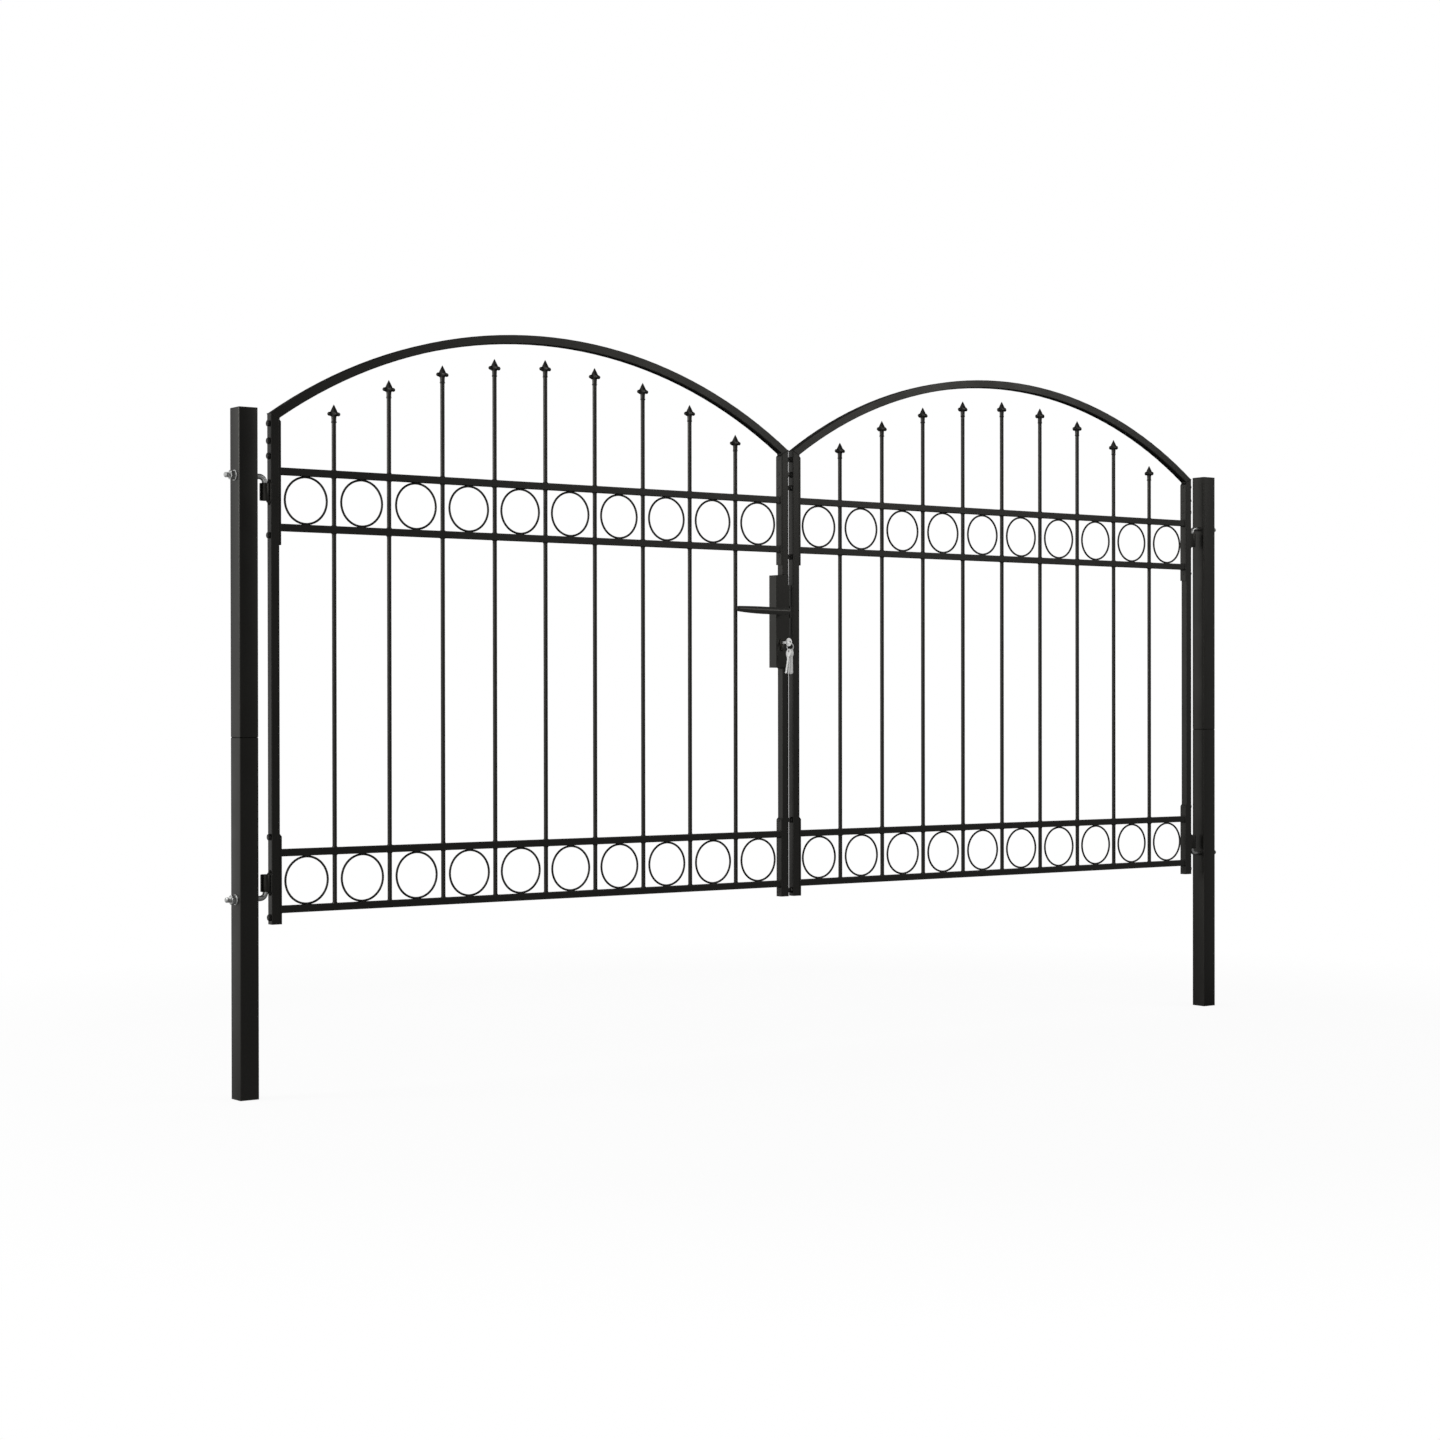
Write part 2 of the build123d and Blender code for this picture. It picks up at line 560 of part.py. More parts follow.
# Spare keys that hang side by side on the ring, fanned out
bow_drop = KEY_BOW / 2 - KEY_HOLE_INSET
with BuildPart() as spare_keys:
    for spread, lean in zip(KEY_SPREADS, KEY_LEANS):
        hang_z = ring_z - sqrt(KEY_RING_RADIUS ** 2 - spread ** 2) - KEY_RING_SLACK
        hang = Plane(
            origin=(SPINDLE_X + spread, hole_y, hang_z),
            x_dir=(0, 1, 0),
            z_dir=Vector(1, 0, 0).rotate(Axis.Y, lean),
        )
        with BuildSketch(hang.offset(-KEY_THICKNESS / 2)):
            with Locations((0, -bow_drop)):
                Circle(KEY_BOW / 2)
            blade_reach = KEY_BOW / 2 + KEY_BLADE_LENGTH
            with Locations((0, -bow_drop - blade_reach / 2)):
                Rectangle(KEY_BLADE_WIDTH, blade_reach)
            Circle(KEY_HOLE / 2, mode=Mode.SUBTRACT)
        extrude(amount=KEY_THICKNESS)
save(spare_keys, "spare_keys")
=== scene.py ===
import bmesh
import bpy
import functools
import json
import math
from mathutils import Matrix, Vector, noise


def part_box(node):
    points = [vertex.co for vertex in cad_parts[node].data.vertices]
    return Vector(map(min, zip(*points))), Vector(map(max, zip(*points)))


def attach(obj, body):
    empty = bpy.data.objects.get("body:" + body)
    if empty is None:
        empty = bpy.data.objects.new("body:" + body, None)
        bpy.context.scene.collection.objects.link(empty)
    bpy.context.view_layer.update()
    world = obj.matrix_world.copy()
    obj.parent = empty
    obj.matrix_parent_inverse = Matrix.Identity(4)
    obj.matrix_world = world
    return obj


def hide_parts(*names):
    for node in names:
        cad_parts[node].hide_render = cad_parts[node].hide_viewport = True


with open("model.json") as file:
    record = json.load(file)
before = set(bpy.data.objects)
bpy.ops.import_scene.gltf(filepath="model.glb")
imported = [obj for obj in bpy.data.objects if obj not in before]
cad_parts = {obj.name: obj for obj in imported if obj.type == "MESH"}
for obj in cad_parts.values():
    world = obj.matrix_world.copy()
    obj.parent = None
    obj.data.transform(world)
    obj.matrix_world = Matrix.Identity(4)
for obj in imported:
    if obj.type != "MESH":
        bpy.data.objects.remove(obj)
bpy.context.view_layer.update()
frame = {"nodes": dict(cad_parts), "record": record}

# The looks of a double fence gate: finish of the steel, welds, cast spear tips, threads and lock parts.
# Metres. X runs along the gate to the right, Z is up and the front faces -Y.

# Camera, fitted to the posts and the pickets
CAMERA_PLACE = (-2.5492, -5.2002, 0.8490)
CAMERA_YAW = math.radians(36.375)
CAMERA_DIP = math.radians(0.275)
CAMERA_ROLL = math.radians(-0.075)
CAMERA_LENS = 65.67
CAMERA_SENSOR = 36.0

# Panel, repeated from the steel work
PICKET_SPACING = 0.1388
PICKETS_EACH_SIDE = 4
PICKET_RADIUS = 0.005
RAIL = 0.016
RAIL_TOPS = (1.375, 1.252, 0.540, 0.416)
PANEL_BOLT_HEIGHTS = (1.470, 1.432, 1.399, 1.226, 0.567, 0.391)
TIP_HEIGHT = 0.031
TIP_SOCKET = 0.039
TIP_ARC_TOP = 1.663
TIP_ARC_RADIUS = 1.160

# Hinges
ROD_RADIUS = 0.006
ROD_BEND = 0.013
ROD_CHAMFER = 0.0012
UPPER_ROD = 1.353
LOWER_ROD = 0.434
THREAD_PITCH = 0.00175
THREAD_DEPTH = 0.0009
PIN_PLAY = 0.00005
HINGE_NUT_FLATS = 0.019
HINGE_NUT_HEIGHT = 0.010
HINGE_WASHER_RADIUS = 0.012
HINGE_WASHER_THICKNESS = 0.002
SLEEVES = ("left_upper_hinge_sleeve", "left_lower_hinge_sleeve")
WEB_HALF = 0.008

# Panel bolts
BOLT_RADIUS = 0.004
BOLT_FLATS = 0.013
BOLT_HEAD = 0.0053
BOLT_PROUD = 0.0010

# Lock
SPINDLE_HEIGHT = 1.088
SPINDLE_INSET = 0.02475
CYLINDER_HEIGHT = 1.011
LEVER_RISE = 0.0035
KEY_SPREADS = (-0.0045, -0.0015, 0.0015, 0.0045)
KEY_LEANS = (9.6, 4.0, 0.0, -1.4)
KEY_TWISTS = (-4.0, -10.0, -14.0, -18.0)
KEY_HOLE_INSET = 0.0055
KEY_RING_SLACK = 0.0015
SCREW_INSET = 0.012
SCREW_PROUD = 0.0002

# Welds
BEAD_RADIUS = 0.0021
TACK_RADIUS = 0.0030
TACK_STRETCH = (1.7, 0.6, 0.5, 1)
INNER_MITRE = 1.4815

# Posts
POST_WALL = 0.002
POST_CORNER = 0.0025
SEAM_CHAMFER = 0.0012
SPIGOT = 0.060

# Degrees between faces from which an edge stays sharp
SHARP = 35
SHARP_POST = 30
SHARP_HEXAGON = 25
SHARP_SLEEVE = 40
SHARP_LEVER = 50
SHARP_CAST = 60

# Sides of round shapes
COLLAR_SIDES = 14
ROUND_SIDES = 32
WIDE_SIDES = 40

MERGE = 1e-6
FULL_TURN = 2 * math.pi
QUARTER_TURN = math.pi / 2

# Places read from the steel work
stile_low, stile_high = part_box("left_hinge_stile")
lock_stile_low, lock_stile_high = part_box("left_lock_stile")
_, post_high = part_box("left_post_lower")
far_post_low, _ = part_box("right_post_lower")
case_low, case_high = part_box("lock_case")
LEAF_LEFT = stile_low.x
LEAF_RIGHT = lock_stile_high.x
LEAF_CENTRE = (LEAF_LEFT + LEAF_RIGHT) / 2
FRAME_WIDTH = stile_high.x - stile_low.x
PANEL_LEFT = stile_high.x
PANEL_RIGHT = lock_stile_low.x
POST_FACE = post_high.x
GATE_MIDDLE = (post_high.x + far_post_low.x) / 2
SPINDLE_X = LEAF_RIGHT - SPINDLE_INSET
PICKETS = range(-PICKETS_EACH_SIDE, PICKETS_EACH_SIDE + 1)


# Making pieces

def in_scene(name, data):
    """A new object in the scene."""
    made = bpy.data.objects.new(name, data)
    bpy.context.scene.collection.objects.link(made)
    return made


def piece(bm, name, body, slot_name, replaced=(), sharp=SHARP):
    """Make a finished mesh into a piece that moves with a body and has the material of a slot."""
    mesh = bpy.data.meshes.new(name)
    bm.to_mesh(mesh)
    bm.free()
    mesh.materials.append(FINISHES[slot_name])
    mesh.shade_smooth()
    mesh.set_sharp_from_angle(angle=math.radians(sharp))
    made = in_scene(name, mesh)
    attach(made, body)
    if replaced:
        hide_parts(*replaced)


def place(x, y, z, turn=Matrix()):
    """Where a shape made at the origin goes, and how it is turned."""
    return Matrix.Translation((x, y, z)) @ turn


def turned(angle, axis):
    """A turn about one axis."""
    return Matrix.Rotation(angle, 4, axis)


def new_corners(bm, count):
    """The corners that were added after the first count."""
    bm.verts.ensure_lookup_table()
    return bm.verts[count:]


def add(bm, shape, where=Matrix()):
    """Add a copy of a shape at a place."""
    count = len(bm.verts)
    bm.from_mesh(shape)
    bmesh.ops.transform(bm, matrix=where, verts=new_corners(bm, count))


def shape_of(bm):
    """Keep a small shape so that it can be added many times."""
    mesh = bpy.data.meshes.new("shape")
    bm.to_mesh(mesh)
    bm.free()
    return mesh


def edges_at(corners):
    """Every edge that meets one of the corners."""
    return list({edge for corner in corners for edge in corner.link_edges})


def circle(bm, radius, segments, where=Matrix(), filled=False):
    """A ring of corners in its own XY plane."""
    made = bmesh.ops.create_circle(bm, cap_ends=filled, segments=segments, radius=radius, matrix=where)
    return made["verts"]


def extend(bm, loop):
    """Draw new faces out of a loop of edges. Returns the new corners and the new loop."""
    run = bmesh.ops.extrude_edge_only(bm, edges=loop)["geom"]
    corners = [item for item in run if isinstance(item, bmesh.types.BMVert)]
    return corners, [item for item in run if isinstance(item, bmesh.types.BMEdge)]


def face_normals_of(bm, count=0):
    """Turn the faces on the corners after the first count outwards."""
    made = set(new_corners(bm, count))
    bmesh.ops.recalc_face_normals(bm, faces=[face for face in bm.faces if face.verts[0] in made])


def round_edges(bm, edges, offset, clamp_overlap=False):
    """Round edges off by a little."""
    more = {"profile": 0.5, "affect": "EDGES", "material": -1, "clamp_overlap": clamp_overlap}
    bmesh.ops.bevel(bm, geom=edges, offset=offset, segments=2, **more)


def spun(outline, steps=24):
    """A round shape: an outline of (radius, height) points turned once about the Z axis."""
    bm = bmesh.new()
    corners = [bm.verts.new((radius, 0, height)) for radius, height in outline]
    edges = [bm.edges.new(pair) for pair in zip(corners, corners[1:])]
    bmesh.ops.spin(
        bm,
        geom=corners + edges,
        cent=(0, 0, 0),
        axis=(0, 0, 1),
        angle=FULL_TURN,
        steps=steps,
        use_merge=True,
    )
    bmesh.ops.remove_doubles(bm, verts=bm.verts, dist=MERGE)
    face_normals_of(bm)
    return bm


def mirrored(outline, height):
    """A lower half of an outline with its mirror image above it, height tall in all."""
    return outline + [(radius, height - level) for radius, level in reversed(outline)]


def to_right_side(bm):
    """Turn a left-hand piece half round about the gate's middle, to the other leaf or post."""
    middle = place(GATE_MIDDLE, 0, 0)
    half_turn = middle @ turned(math.pi, "Z") @ middle.inverted()
    bmesh.ops.transform(bm, matrix=half_turn, verts=bm.verts)


def on_both_sides(build, name, bodies, slot_name, replaced=(), sharp=SHARP):
    """Make a left and a right piece with the same build function."""
    for side, body in zip(("left", "right"), bodies):
        bm = build()
        if side == "right":
            to_right_side(bm)
        nodes = [f"{side}_{node}" for node in replaced]
        piece(bm, f"{side}_{name}", body, slot_name, nodes, sharp)


def lumpy(corners, amount, size):
    """Push corners about by a little, so that a weld looks hand made."""
    for corner in corners:
        corner.co += noise.noise_vector(corner.co / size) * amount


LEAVES = ("left_leaf", "right_leaf")
POSTS = ("posts", "posts")


# Finishes

def node_group(name, inputs, outputs):
    """An empty shader group with named inputs (name, kind, value) and outputs (name, kind)."""
    group = bpy.data.node_groups.new(name, "ShaderNodeTree")
    for socket, kind, value in inputs:
        made = group.interface.new_socket(socket, in_out="INPUT", socket_type=kind)
        if value is not None:
            made.default_value = value
    for socket, kind in outputs:
        group.interface.new_socket(socket, in_out="OUTPUT", socket_type=kind)
    start = group.nodes.new("NodeGroupInput")
    end = group.nodes.new("NodeGroupOutput")
    return group, start, end


def fill_inputs(tree, node, links):
    """Give the inputs of a shader node their values or linked sockets."""
    for key, value in links.items():
        if isinstance(value, bpy.types.NodeSocket):
            tree.links.new(value, node.inputs[key])
        else:
            node.inputs[key].default_value = value


def add_node(tree, kind, settings=None, links=None):
    """A shader node with its settings and its inputs."""
    node = tree.nodes.new(kind)
    for key, value in (settings or {}).items():
        setattr(node, key, value)
    fill_inputs(tree, node, links or {})
    return node


def ramp(tree, source, low, high, bottom=0.0, top=1.0):
    """Map a value from low..high to bottom..top, held at both ends."""
    links = {"Value": source, "From Min": low, "From Max": high, "To Min": bottom, "To Max": top}
    return add_node(tree, "ShaderNodeMapRange", {"clamp": True}, links).outputs["Result"]


def blend_colours(tree, amount, first, second):
    """Mix two colours by a mask, through the colour sockets of the mixing node."""
    share, colour_a, colour_b, result = 0, 6, 7, 2
    links = {share: amount, colour_a: first, colour_b: second}
    return add_node(tree, "ShaderNodeMix", {"data_type": "RGBA"}, links).outputs[result]


def combine(tree, operation, first, second):
    """One step of arithmetic."""
    return add_node(tree, "ShaderNodeMath", {"operation": operation}, {0: first, 1: second}).outputs[0]


def cloudy(tree, where, scale, detail, **more):
    """Cloudy noise at a place."""
    links = {"Vector": where, "Scale": scale, "Detail": detail, **more}
    return add_node(tree, "ShaderNodeTexNoise", None, links).outputs["Fac"]


def coat_skin_group():
    """The skin of a sprayed or baked coat: fine pebbling, and slow changes of sheen."""
    inputs = [("Vector", "NodeSocketVector", None), ("Pebble Size", "NodeSocketFloat", 0.0015)]
    outputs = [("Height", "NodeSocketFloat"), ("Sheen Change", "NodeSocketFloat")]
    group, start, end = node_group("coat_skin", inputs, outputs)
    scale = combine(group, "DIVIDE", 1.0, start.outputs["Pebble Size"])
    pebbles = cloudy(group, start.outputs["Vector"], scale, 2.0, Roughness=0.55)
    clouds = cloudy(group, start.outputs["Vector"], 9.0, 3.0)
    group.links.new(pebbles, end.inputs["Height"])
    group.links.new(ramp(group, clouds, 0.35, 0.65), end.inputs["Sheen Change"])
    return group


def edge_wear_and_highlight_group():
    """A mask of edges and corners, broken up by noise: where the coat is worn thin, and where a painted
    edge highlight lightens it.
    """
    inputs = [
        ("Vector", "NodeSocketVector", None),
        ("Edge Width", "NodeSocketFloat", 0.0008),
        ("Broken Up", "NodeSocketFloat", 0.5),
    ]
    group, start, end = node_group("edge_wear_and_highlight", inputs, [("Mask", "NodeSocketFloat")])
    rounded = add_node(group, "ShaderNodeBevel", {"samples": 4}, {"Radius": start.outputs["Edge Width"]})
    plain = add_node(group, "ShaderNodeNewGeometry")
    normals = {0: rounded.outputs["Normal"], 1: plain.outputs["Normal"]}
    along = add_node(group, "ShaderNodeVectorMath", {"operation": "DOT_PRODUCT"}, normals)
    edge = ramp(group, along.outputs["Value"], 0.995, 0.86)
    kept = ramp(group, cloudy(group, start.outputs["Vector"], 160.0, 4.0), 0.40, 0.60)
    gone = combine(group, "SUBTRACT", 1.0, kept)
    weakened = combine(group, "MULTIPLY", start.outputs["Broken Up"], gone)
    mask = combine(group, "MULTIPLY", edge, combine(group, "SUBTRACT", 1.0, weakened))
    group.links.new(mask, end.inputs["Mask"])
    return group


def dust_group():
    """A mask of the thin dust that settles on faces that look up."""
    inputs = [("Vector", "NodeSocketVector", None), ("Amount", "NodeSocketFloat", 0.3)]
    group, start, end = node_group("settled_dust", inputs, [("Mask", "NodeSocketFloat")])
    normal = add_node(group, "ShaderNodeNewGeometry").outputs["Normal"]
    parts = add_node(group, "ShaderNodeSeparateXYZ", None, {"Vector": normal})
    upward = ramp(group, parts.outputs["Z"], 0.35, 0.95)
    patchy = ramp(group, cloudy(group, start.outputs["Vector"], 45.0, 5.0), 0.30, 0.75)
    mask = combine(group, "MULTIPLY", upward, combine(group, "MULTIPLY", patchy, start.outputs["Amount"]))
    group.links.new(mask, end.inputs["Mask"])
    return group


COAT_SKIN = coat_skin_group()
EDGE_WEAR_AND_HIGHLIGHT = edge_wear_and_highlight_group()
SETTLED_DUST = dust_group()
DUST_COLOUR = (0.16, 0.15, 0.13, 1.0)
WARM_GLOSS = (1.0, 0.975, 0.90, 1.0)


def new_finish(name):
    """A material with its tree, its shader and the place on the object."""
    material = bpy.data.materials.new(name)
    material.use_nodes = True
    tree = material.node_tree
    shader = tree.nodes["Principled BSDF"]
    where = tree.nodes.new("ShaderNodeTexCoord").outputs["Object"]
    return material, tree, shader, where


def use_group(tree, group, links):
    """A shared effect placed in a material."""
    return add_node(tree, "ShaderNodeGroup", {"node_tree": group}, links)


def bump(tree, height, depth, strength):
    """A bump from a height."""
    links = {"Height": height, "Distance": depth, "Strength": strength}
    return add_node(tree, "ShaderNodeBump", None, links).outputs["Normal"]


def coated(name, colour, worn_and_highlight_colour, roughness, pebble, pebble_depth, dust, gloss):
    """A black coat: pebbled skin, thin and lighter at the edges as wear and as a painted edge highlight,
    with a little dust on top.
    """
    material, tree, shader, where = new_finish(name)
    skin = use_group(tree, COAT_SKIN, {"Vector": where, "Pebble Size": pebble})
    edge = use_group(tree, EDGE_WEAR_AND_HIGHLIGHT, {"Vector": where})
    film = use_group(tree, SETTLED_DUST, {"Vector": where, "Amount": dust})
    darker = [0.8 * channel for channel in colour[:3]] + [1.0]
    body = blend_colours(tree, skin.outputs["Sheen Change"], colour, darker)
    # Edges lighten towards the worn colour: thin coat, and a painted edge highlight
    worn_and_highlit = blend_colours(tree, edge.outputs["Mask"], body, worn_and_highlight_colour)
    dusty = blend_colours(tree, film.outputs["Mask"], worn_and_highlit, DUST_COLOUR)
    sheen = ramp(tree, skin.outputs["Sheen Change"], 0.0, 1.0, roughness - 0.04, roughness + 0.05)
    dulled = combine(tree, "ADD", sheen, combine(tree, "MULTIPLY", film.outputs["Mask"], 0.4))
    pebbled = bump(tree, skin.outputs["Height"], pebble_depth, 0.6)
    fill_inputs(tree, shader, {"Base Color": dusty, "Roughness": dulled, "Normal": pebbled})
    fill_inputs(tree, shader, {"Specular IOR Level": gloss, "Specular Tint": WARM_GLOSS})
    return material


def plated(name, colour, dull_colour, roughness, brush, metal=1.0):
    """Bare or plated metal: cloudy plating with fine scratches."""
    material, tree, shader, where = new_finish(name)
    stretched = add_node(tree, "ShaderNodeMapping", None, {"Vector": where, "Scale": brush}).outputs[0]
    scratches = cloudy(tree, stretched, 900.0, 3.0)
    edge = use_group(tree, EDGE_WEAR_AND_HIGHLIGHT, {"Vector": where, "Edge Width": 0.0005})
    dull = ramp(tree, cloudy(tree, where, 260.0, 5.0), 0.40, 0.68)
    body = blend_colours(tree, dull, colour, dull_colour)
    # Edges go back to the clean colour: rubbed bright, and partly a painted edge highlight
    worn_and_highlit = blend_colours(tree, edge.outputs["Mask"], body, colour)
    fine = ramp(tree, scratches, 0.3, 0.7, roughness - 0.06, roughness + 0.08)
    rough = combine(tree, "ADD", fine, combine(tree, "MULTIPLY", dull, 0.12))
    scratched = bump(tree, scratches, 0.00003, 0.5)
    links = {"Base Color": worn_and_highlit, "Roughness": rough, "Normal": scratched, "Metallic": metal}
    fill_inputs(tree, shader, links)
    return material


# Coats: name, colour, colour of worn edges with their painted edge highlight, roughness, size and depth of
# the pebbling, dust and gloss
# Plating: name, colour, dull colour, roughness, how fine the scratches are each way, and how metallic
FINISHES = {
    "black_coat": coated(
        "black_powder_coat", (0.0042, 0.0041, 0.0037, 1), (0.014, 0.0135, 0.0125, 1),
        0.36, 0.0014, 0.00005, 0.06, 0.5,
    ),
    "cap_black": coated(
        "black_moulded_plastic", (0.008, 0.008, 0.008, 1), (0.018, 0.018, 0.018, 1),
        0.52, 0.0006, 0.00004, 0.25, 0.35,
    ),
    "black_bolt": coated(
        "black_bolt_paint", (0.006, 0.006, 0.006, 1), (0.06, 0.058, 0.055, 1),
        0.34, 0.0010, 0.00003, 0.10, 0.5,
    ),
    "lock_black": coated(
        "blackened_brass", (0.010, 0.009, 0.008, 1), (0.10, 0.075, 0.04, 1),
        0.30, 0.0008, 0.00002, 0.05, 0.5,
    ),
    "lever_black": coated(
        "black_lever_lacquer", (0.014, 0.0138, 0.013, 1), (0.05, 0.048, 0.045, 1),
        0.32, 0.0010, 0.00002, 0.08, 0.6,
    ),
    "galvanised": plated("zinc_plate", (0.66, 0.67, 0.66, 1), (0.42, 0.42, 0.41, 1), 0.34, (1, 1, 1)),
    "lock_steel": plated("satin_nickel", (0.56, 0.56, 0.55, 1), (0.42, 0.42, 0.40, 1), 0.32, (1, 1, 8)),
    "key_steel": plated("key_nickel", (0.92, 0.92, 0.91, 1), (0.80, 0.80, 0.78, 1), 0.34, (1, 1, 6), 0.45),
}


for part in frame["record"]["subparts"]:
    node_mesh = frame["nodes"][part["node"]].data
    node_mesh.materials.clear()
    node_mesh.materials.append(FINISHES[part["material_slot"]])


# Fasteners

def hexagon(outline, flats):
    """A nut or head: a round outline whose widest part is pressed out to a hexagon.

    The corners drop as they go out, which leaves the curved chamfer of a turned hexagon.
    """
    sides = 6
    bm = spun(outline, 6 * sides)
    inner = flats / 2
    chamfer_slope = 0.5
    heights = [height for _, height in outline]
    middle = (min(heights) + max(heights)) / 2
    for corner in bm.verts:
        radius = corner.co.xy.length
        if radius > inner - MERGE:
            angle = math.atan2(corner.co.y, corner.co.x)
            from_flat = angle % (FULL_TURN / sides) - FULL_TURN / (2 * sides)
            reach = inner / math.cos(from_flat)
            drop = (reach - inner) * chamfer_slope
            corner.co.xy *= reach / radius
            corner.co.z += -drop if corner.co.z > middle else drop
    return bm


def nut_outline(flats, height, hole):
    """Half of a nut's section: bore, chamfered mouths and flats."""
    mouth = 0.1 * hole
    bevel = 0.03 * flats
    face = 0.475 * flats
    lower = [(flats / 2, bevel), (face, 0), (hole + mouth, 0), (hole, mouth)]
    return mirrored(lower, height) + lower[:1]


def head_outline(flats, height):
    """Half of a bolt head's section, with a slightly domed top."""
    dome = [(0, height), (flats * 0.30, height * 0.98), (flats * 0.46, height * 0.90)]
    return dome + [(flats / 2, height * 0.80), (flats / 2, 0), (0, 0)]


def washer_outline(radius, thickness, hole):
    """Half of a punched washer's section, with one rounded rim."""
    rim = 0.4 * thickness
    top = [(hole, thickness), (radius - rim, thickness), (radius, thickness - rim)]
    return [(hole, 0)] + top + [(radius, 0), (hole, 0)]


def threaded_end(radius, pitch, depth, length, chamfer):
    """A threaded bar end along Z: a core with a chamfered end, and a helical ridge on it."""
    core = radius - depth
    bm = spun([(0, 0), (core, 0), (core, length - chamfer), (core - chamfer, length), (0, length)])
    steps = 20
    turns = int((length - chamfer) / pitch) - 1
    root = core - 0.15 * depth
    ridge = ((root, 0.06), (radius, 0.44), (radius, 0.56), (root, 0.94))
    section = [bm.verts.new((reach, 0, pitch * share)) for reach, share in ridge]
    count = len(bm.verts) - len(section)
    first_end = bm.faces.new(section)
    bmesh.ops.spin(
        bm,
        geom=[first_end],
        cent=(0, 0, 0),
        axis=(0, 0, 1),
        dvec=(0, 0, pitch / steps),
        angle=FULL_TURN * turns,
        steps=steps * turns,
    )
    face_normals_of(bm, count)
    return bm


def hinge_rod_shape(rod_height, way):
    """A bent hinge bolt: threaded end, straight shank through the post, bend and pin."""
    bm = bmesh.new()
    low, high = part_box("left_upper_hinge_bolt" if way < 0 else "left_lower_hinge_bolt")
    pin_x = high.x - ROD_RADIUS
    pin_end = low.z if way < 0 else high.z
    thread = threaded_end(ROD_RADIUS, THREAD_PITCH, THREAD_DEPTH, -POST_FACE - low.x, ROD_CHAMFER)
    add(bm, shape_of(thread), place(-POST_FACE, 0, rod_height, turned(-QUARTER_TURN, "Y")))
    count = len(bm.verts)
    circle(bm, ROD_RADIUS, 24, place(-POST_FACE, 0, rod_height, turned(QUARTER_TURN, "Y")))
    corners, loop = extend(bm, edges_at(new_corners(bm, count)))
    bmesh.ops.translate(bm, verts=corners, vec=(POST_FACE + pin_x - ROD_BEND, 0, 0))
    bend = bmesh.ops.spin(
        bm,
        geom=corners + loop,
        cent=(pin_x - ROD_BEND, 0, rod_height + way * ROD_BEND),
        axis=(0, 1, 0),
        angle=-way * QUARTER_TURN,
        steps=10,
    )
    loop = [item for item in bend["geom_last"] if isinstance(item, bmesh.types.BMEdge)]
    for reach, shrink in ((pin_end - way * ROD_CHAMFER, 1.0), (pin_end, 1 - ROD_CHAMFER / ROD_RADIUS)):
        corners, loop = extend(bm, loop)
        for corner in corners:
            corner.co.z = reach
        centre = place(-pin_x, 0, -reach)
        bmesh.ops.scale(bm, vec=(shrink, shrink, 1), space=centre, verts=corners)
    bmesh.ops.contextual_create(bm, geom=loop)
    face_normals_of(bm, count)
    return bm


def hinge_nut_shape():
    """Washers and nuts on the outer ends of both hinge bolts, each nut turned as it happened to stop."""
    bm = bmesh.new()
    outline = washer_outline(HINGE_WASHER_RADIUS, HINGE_WASHER_THICKNESS, ROD_RADIUS)
    washer = shape_of(spun(outline, ROUND_SIDES))
    outline = nut_outline(HINGE_NUT_FLATS, HINGE_NUT_HEIGHT, ROD_RADIUS)
    nut = shape_of(hexagon(outline, HINGE_NUT_FLATS))
    outward = turned(-QUARTER_TURN, "Y")
    for rod_height, stop in ((UPPER_ROD, 0.3), (LOWER_ROD, 0.75)):
        add(bm, washer, place(-POST_FACE, 0, rod_height, outward))
        face = -POST_FACE - HINGE_WASHER_THICKNESS
        add(bm, nut, place(face, 0, rod_height, outward @ turned(stop, "Z")))
    return bm


def hinge_sleeve_shape():
    """Both sleeves that the hinge pins turn in, with rounded rims, and the webs that carry them."""
    bm = bmesh.new()
    bore = ROD_RADIUS + PIN_PLAY
    rim = 0.0012
    soft = 0.3 * rim
    for name in SLEEVES:
        low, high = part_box(name)
        radius = (high.y - low.y) / 2
        tall = high.z - low.z
        lower = [(bore, 0), (radius - rim, 0), (radius - soft, soft), (radius, rim)]
        tube = shape_of(spun(mirrored(lower, tall) + lower[:1], WIDE_SIDES))
        add(bm, tube, place(low.x + radius, 0, low.z))
        start = low.x + radius + bore
        middle = place((start + LEAF_LEFT) / 2, 0, (low.z + high.z) / 2)
        size = Matrix.Diagonal((LEAF_LEFT - start, 2 * WEB_HALF, tall - rim, 1))
        bmesh.ops.create_cube(bm, size=1, matrix=middle @ size)
    return bm


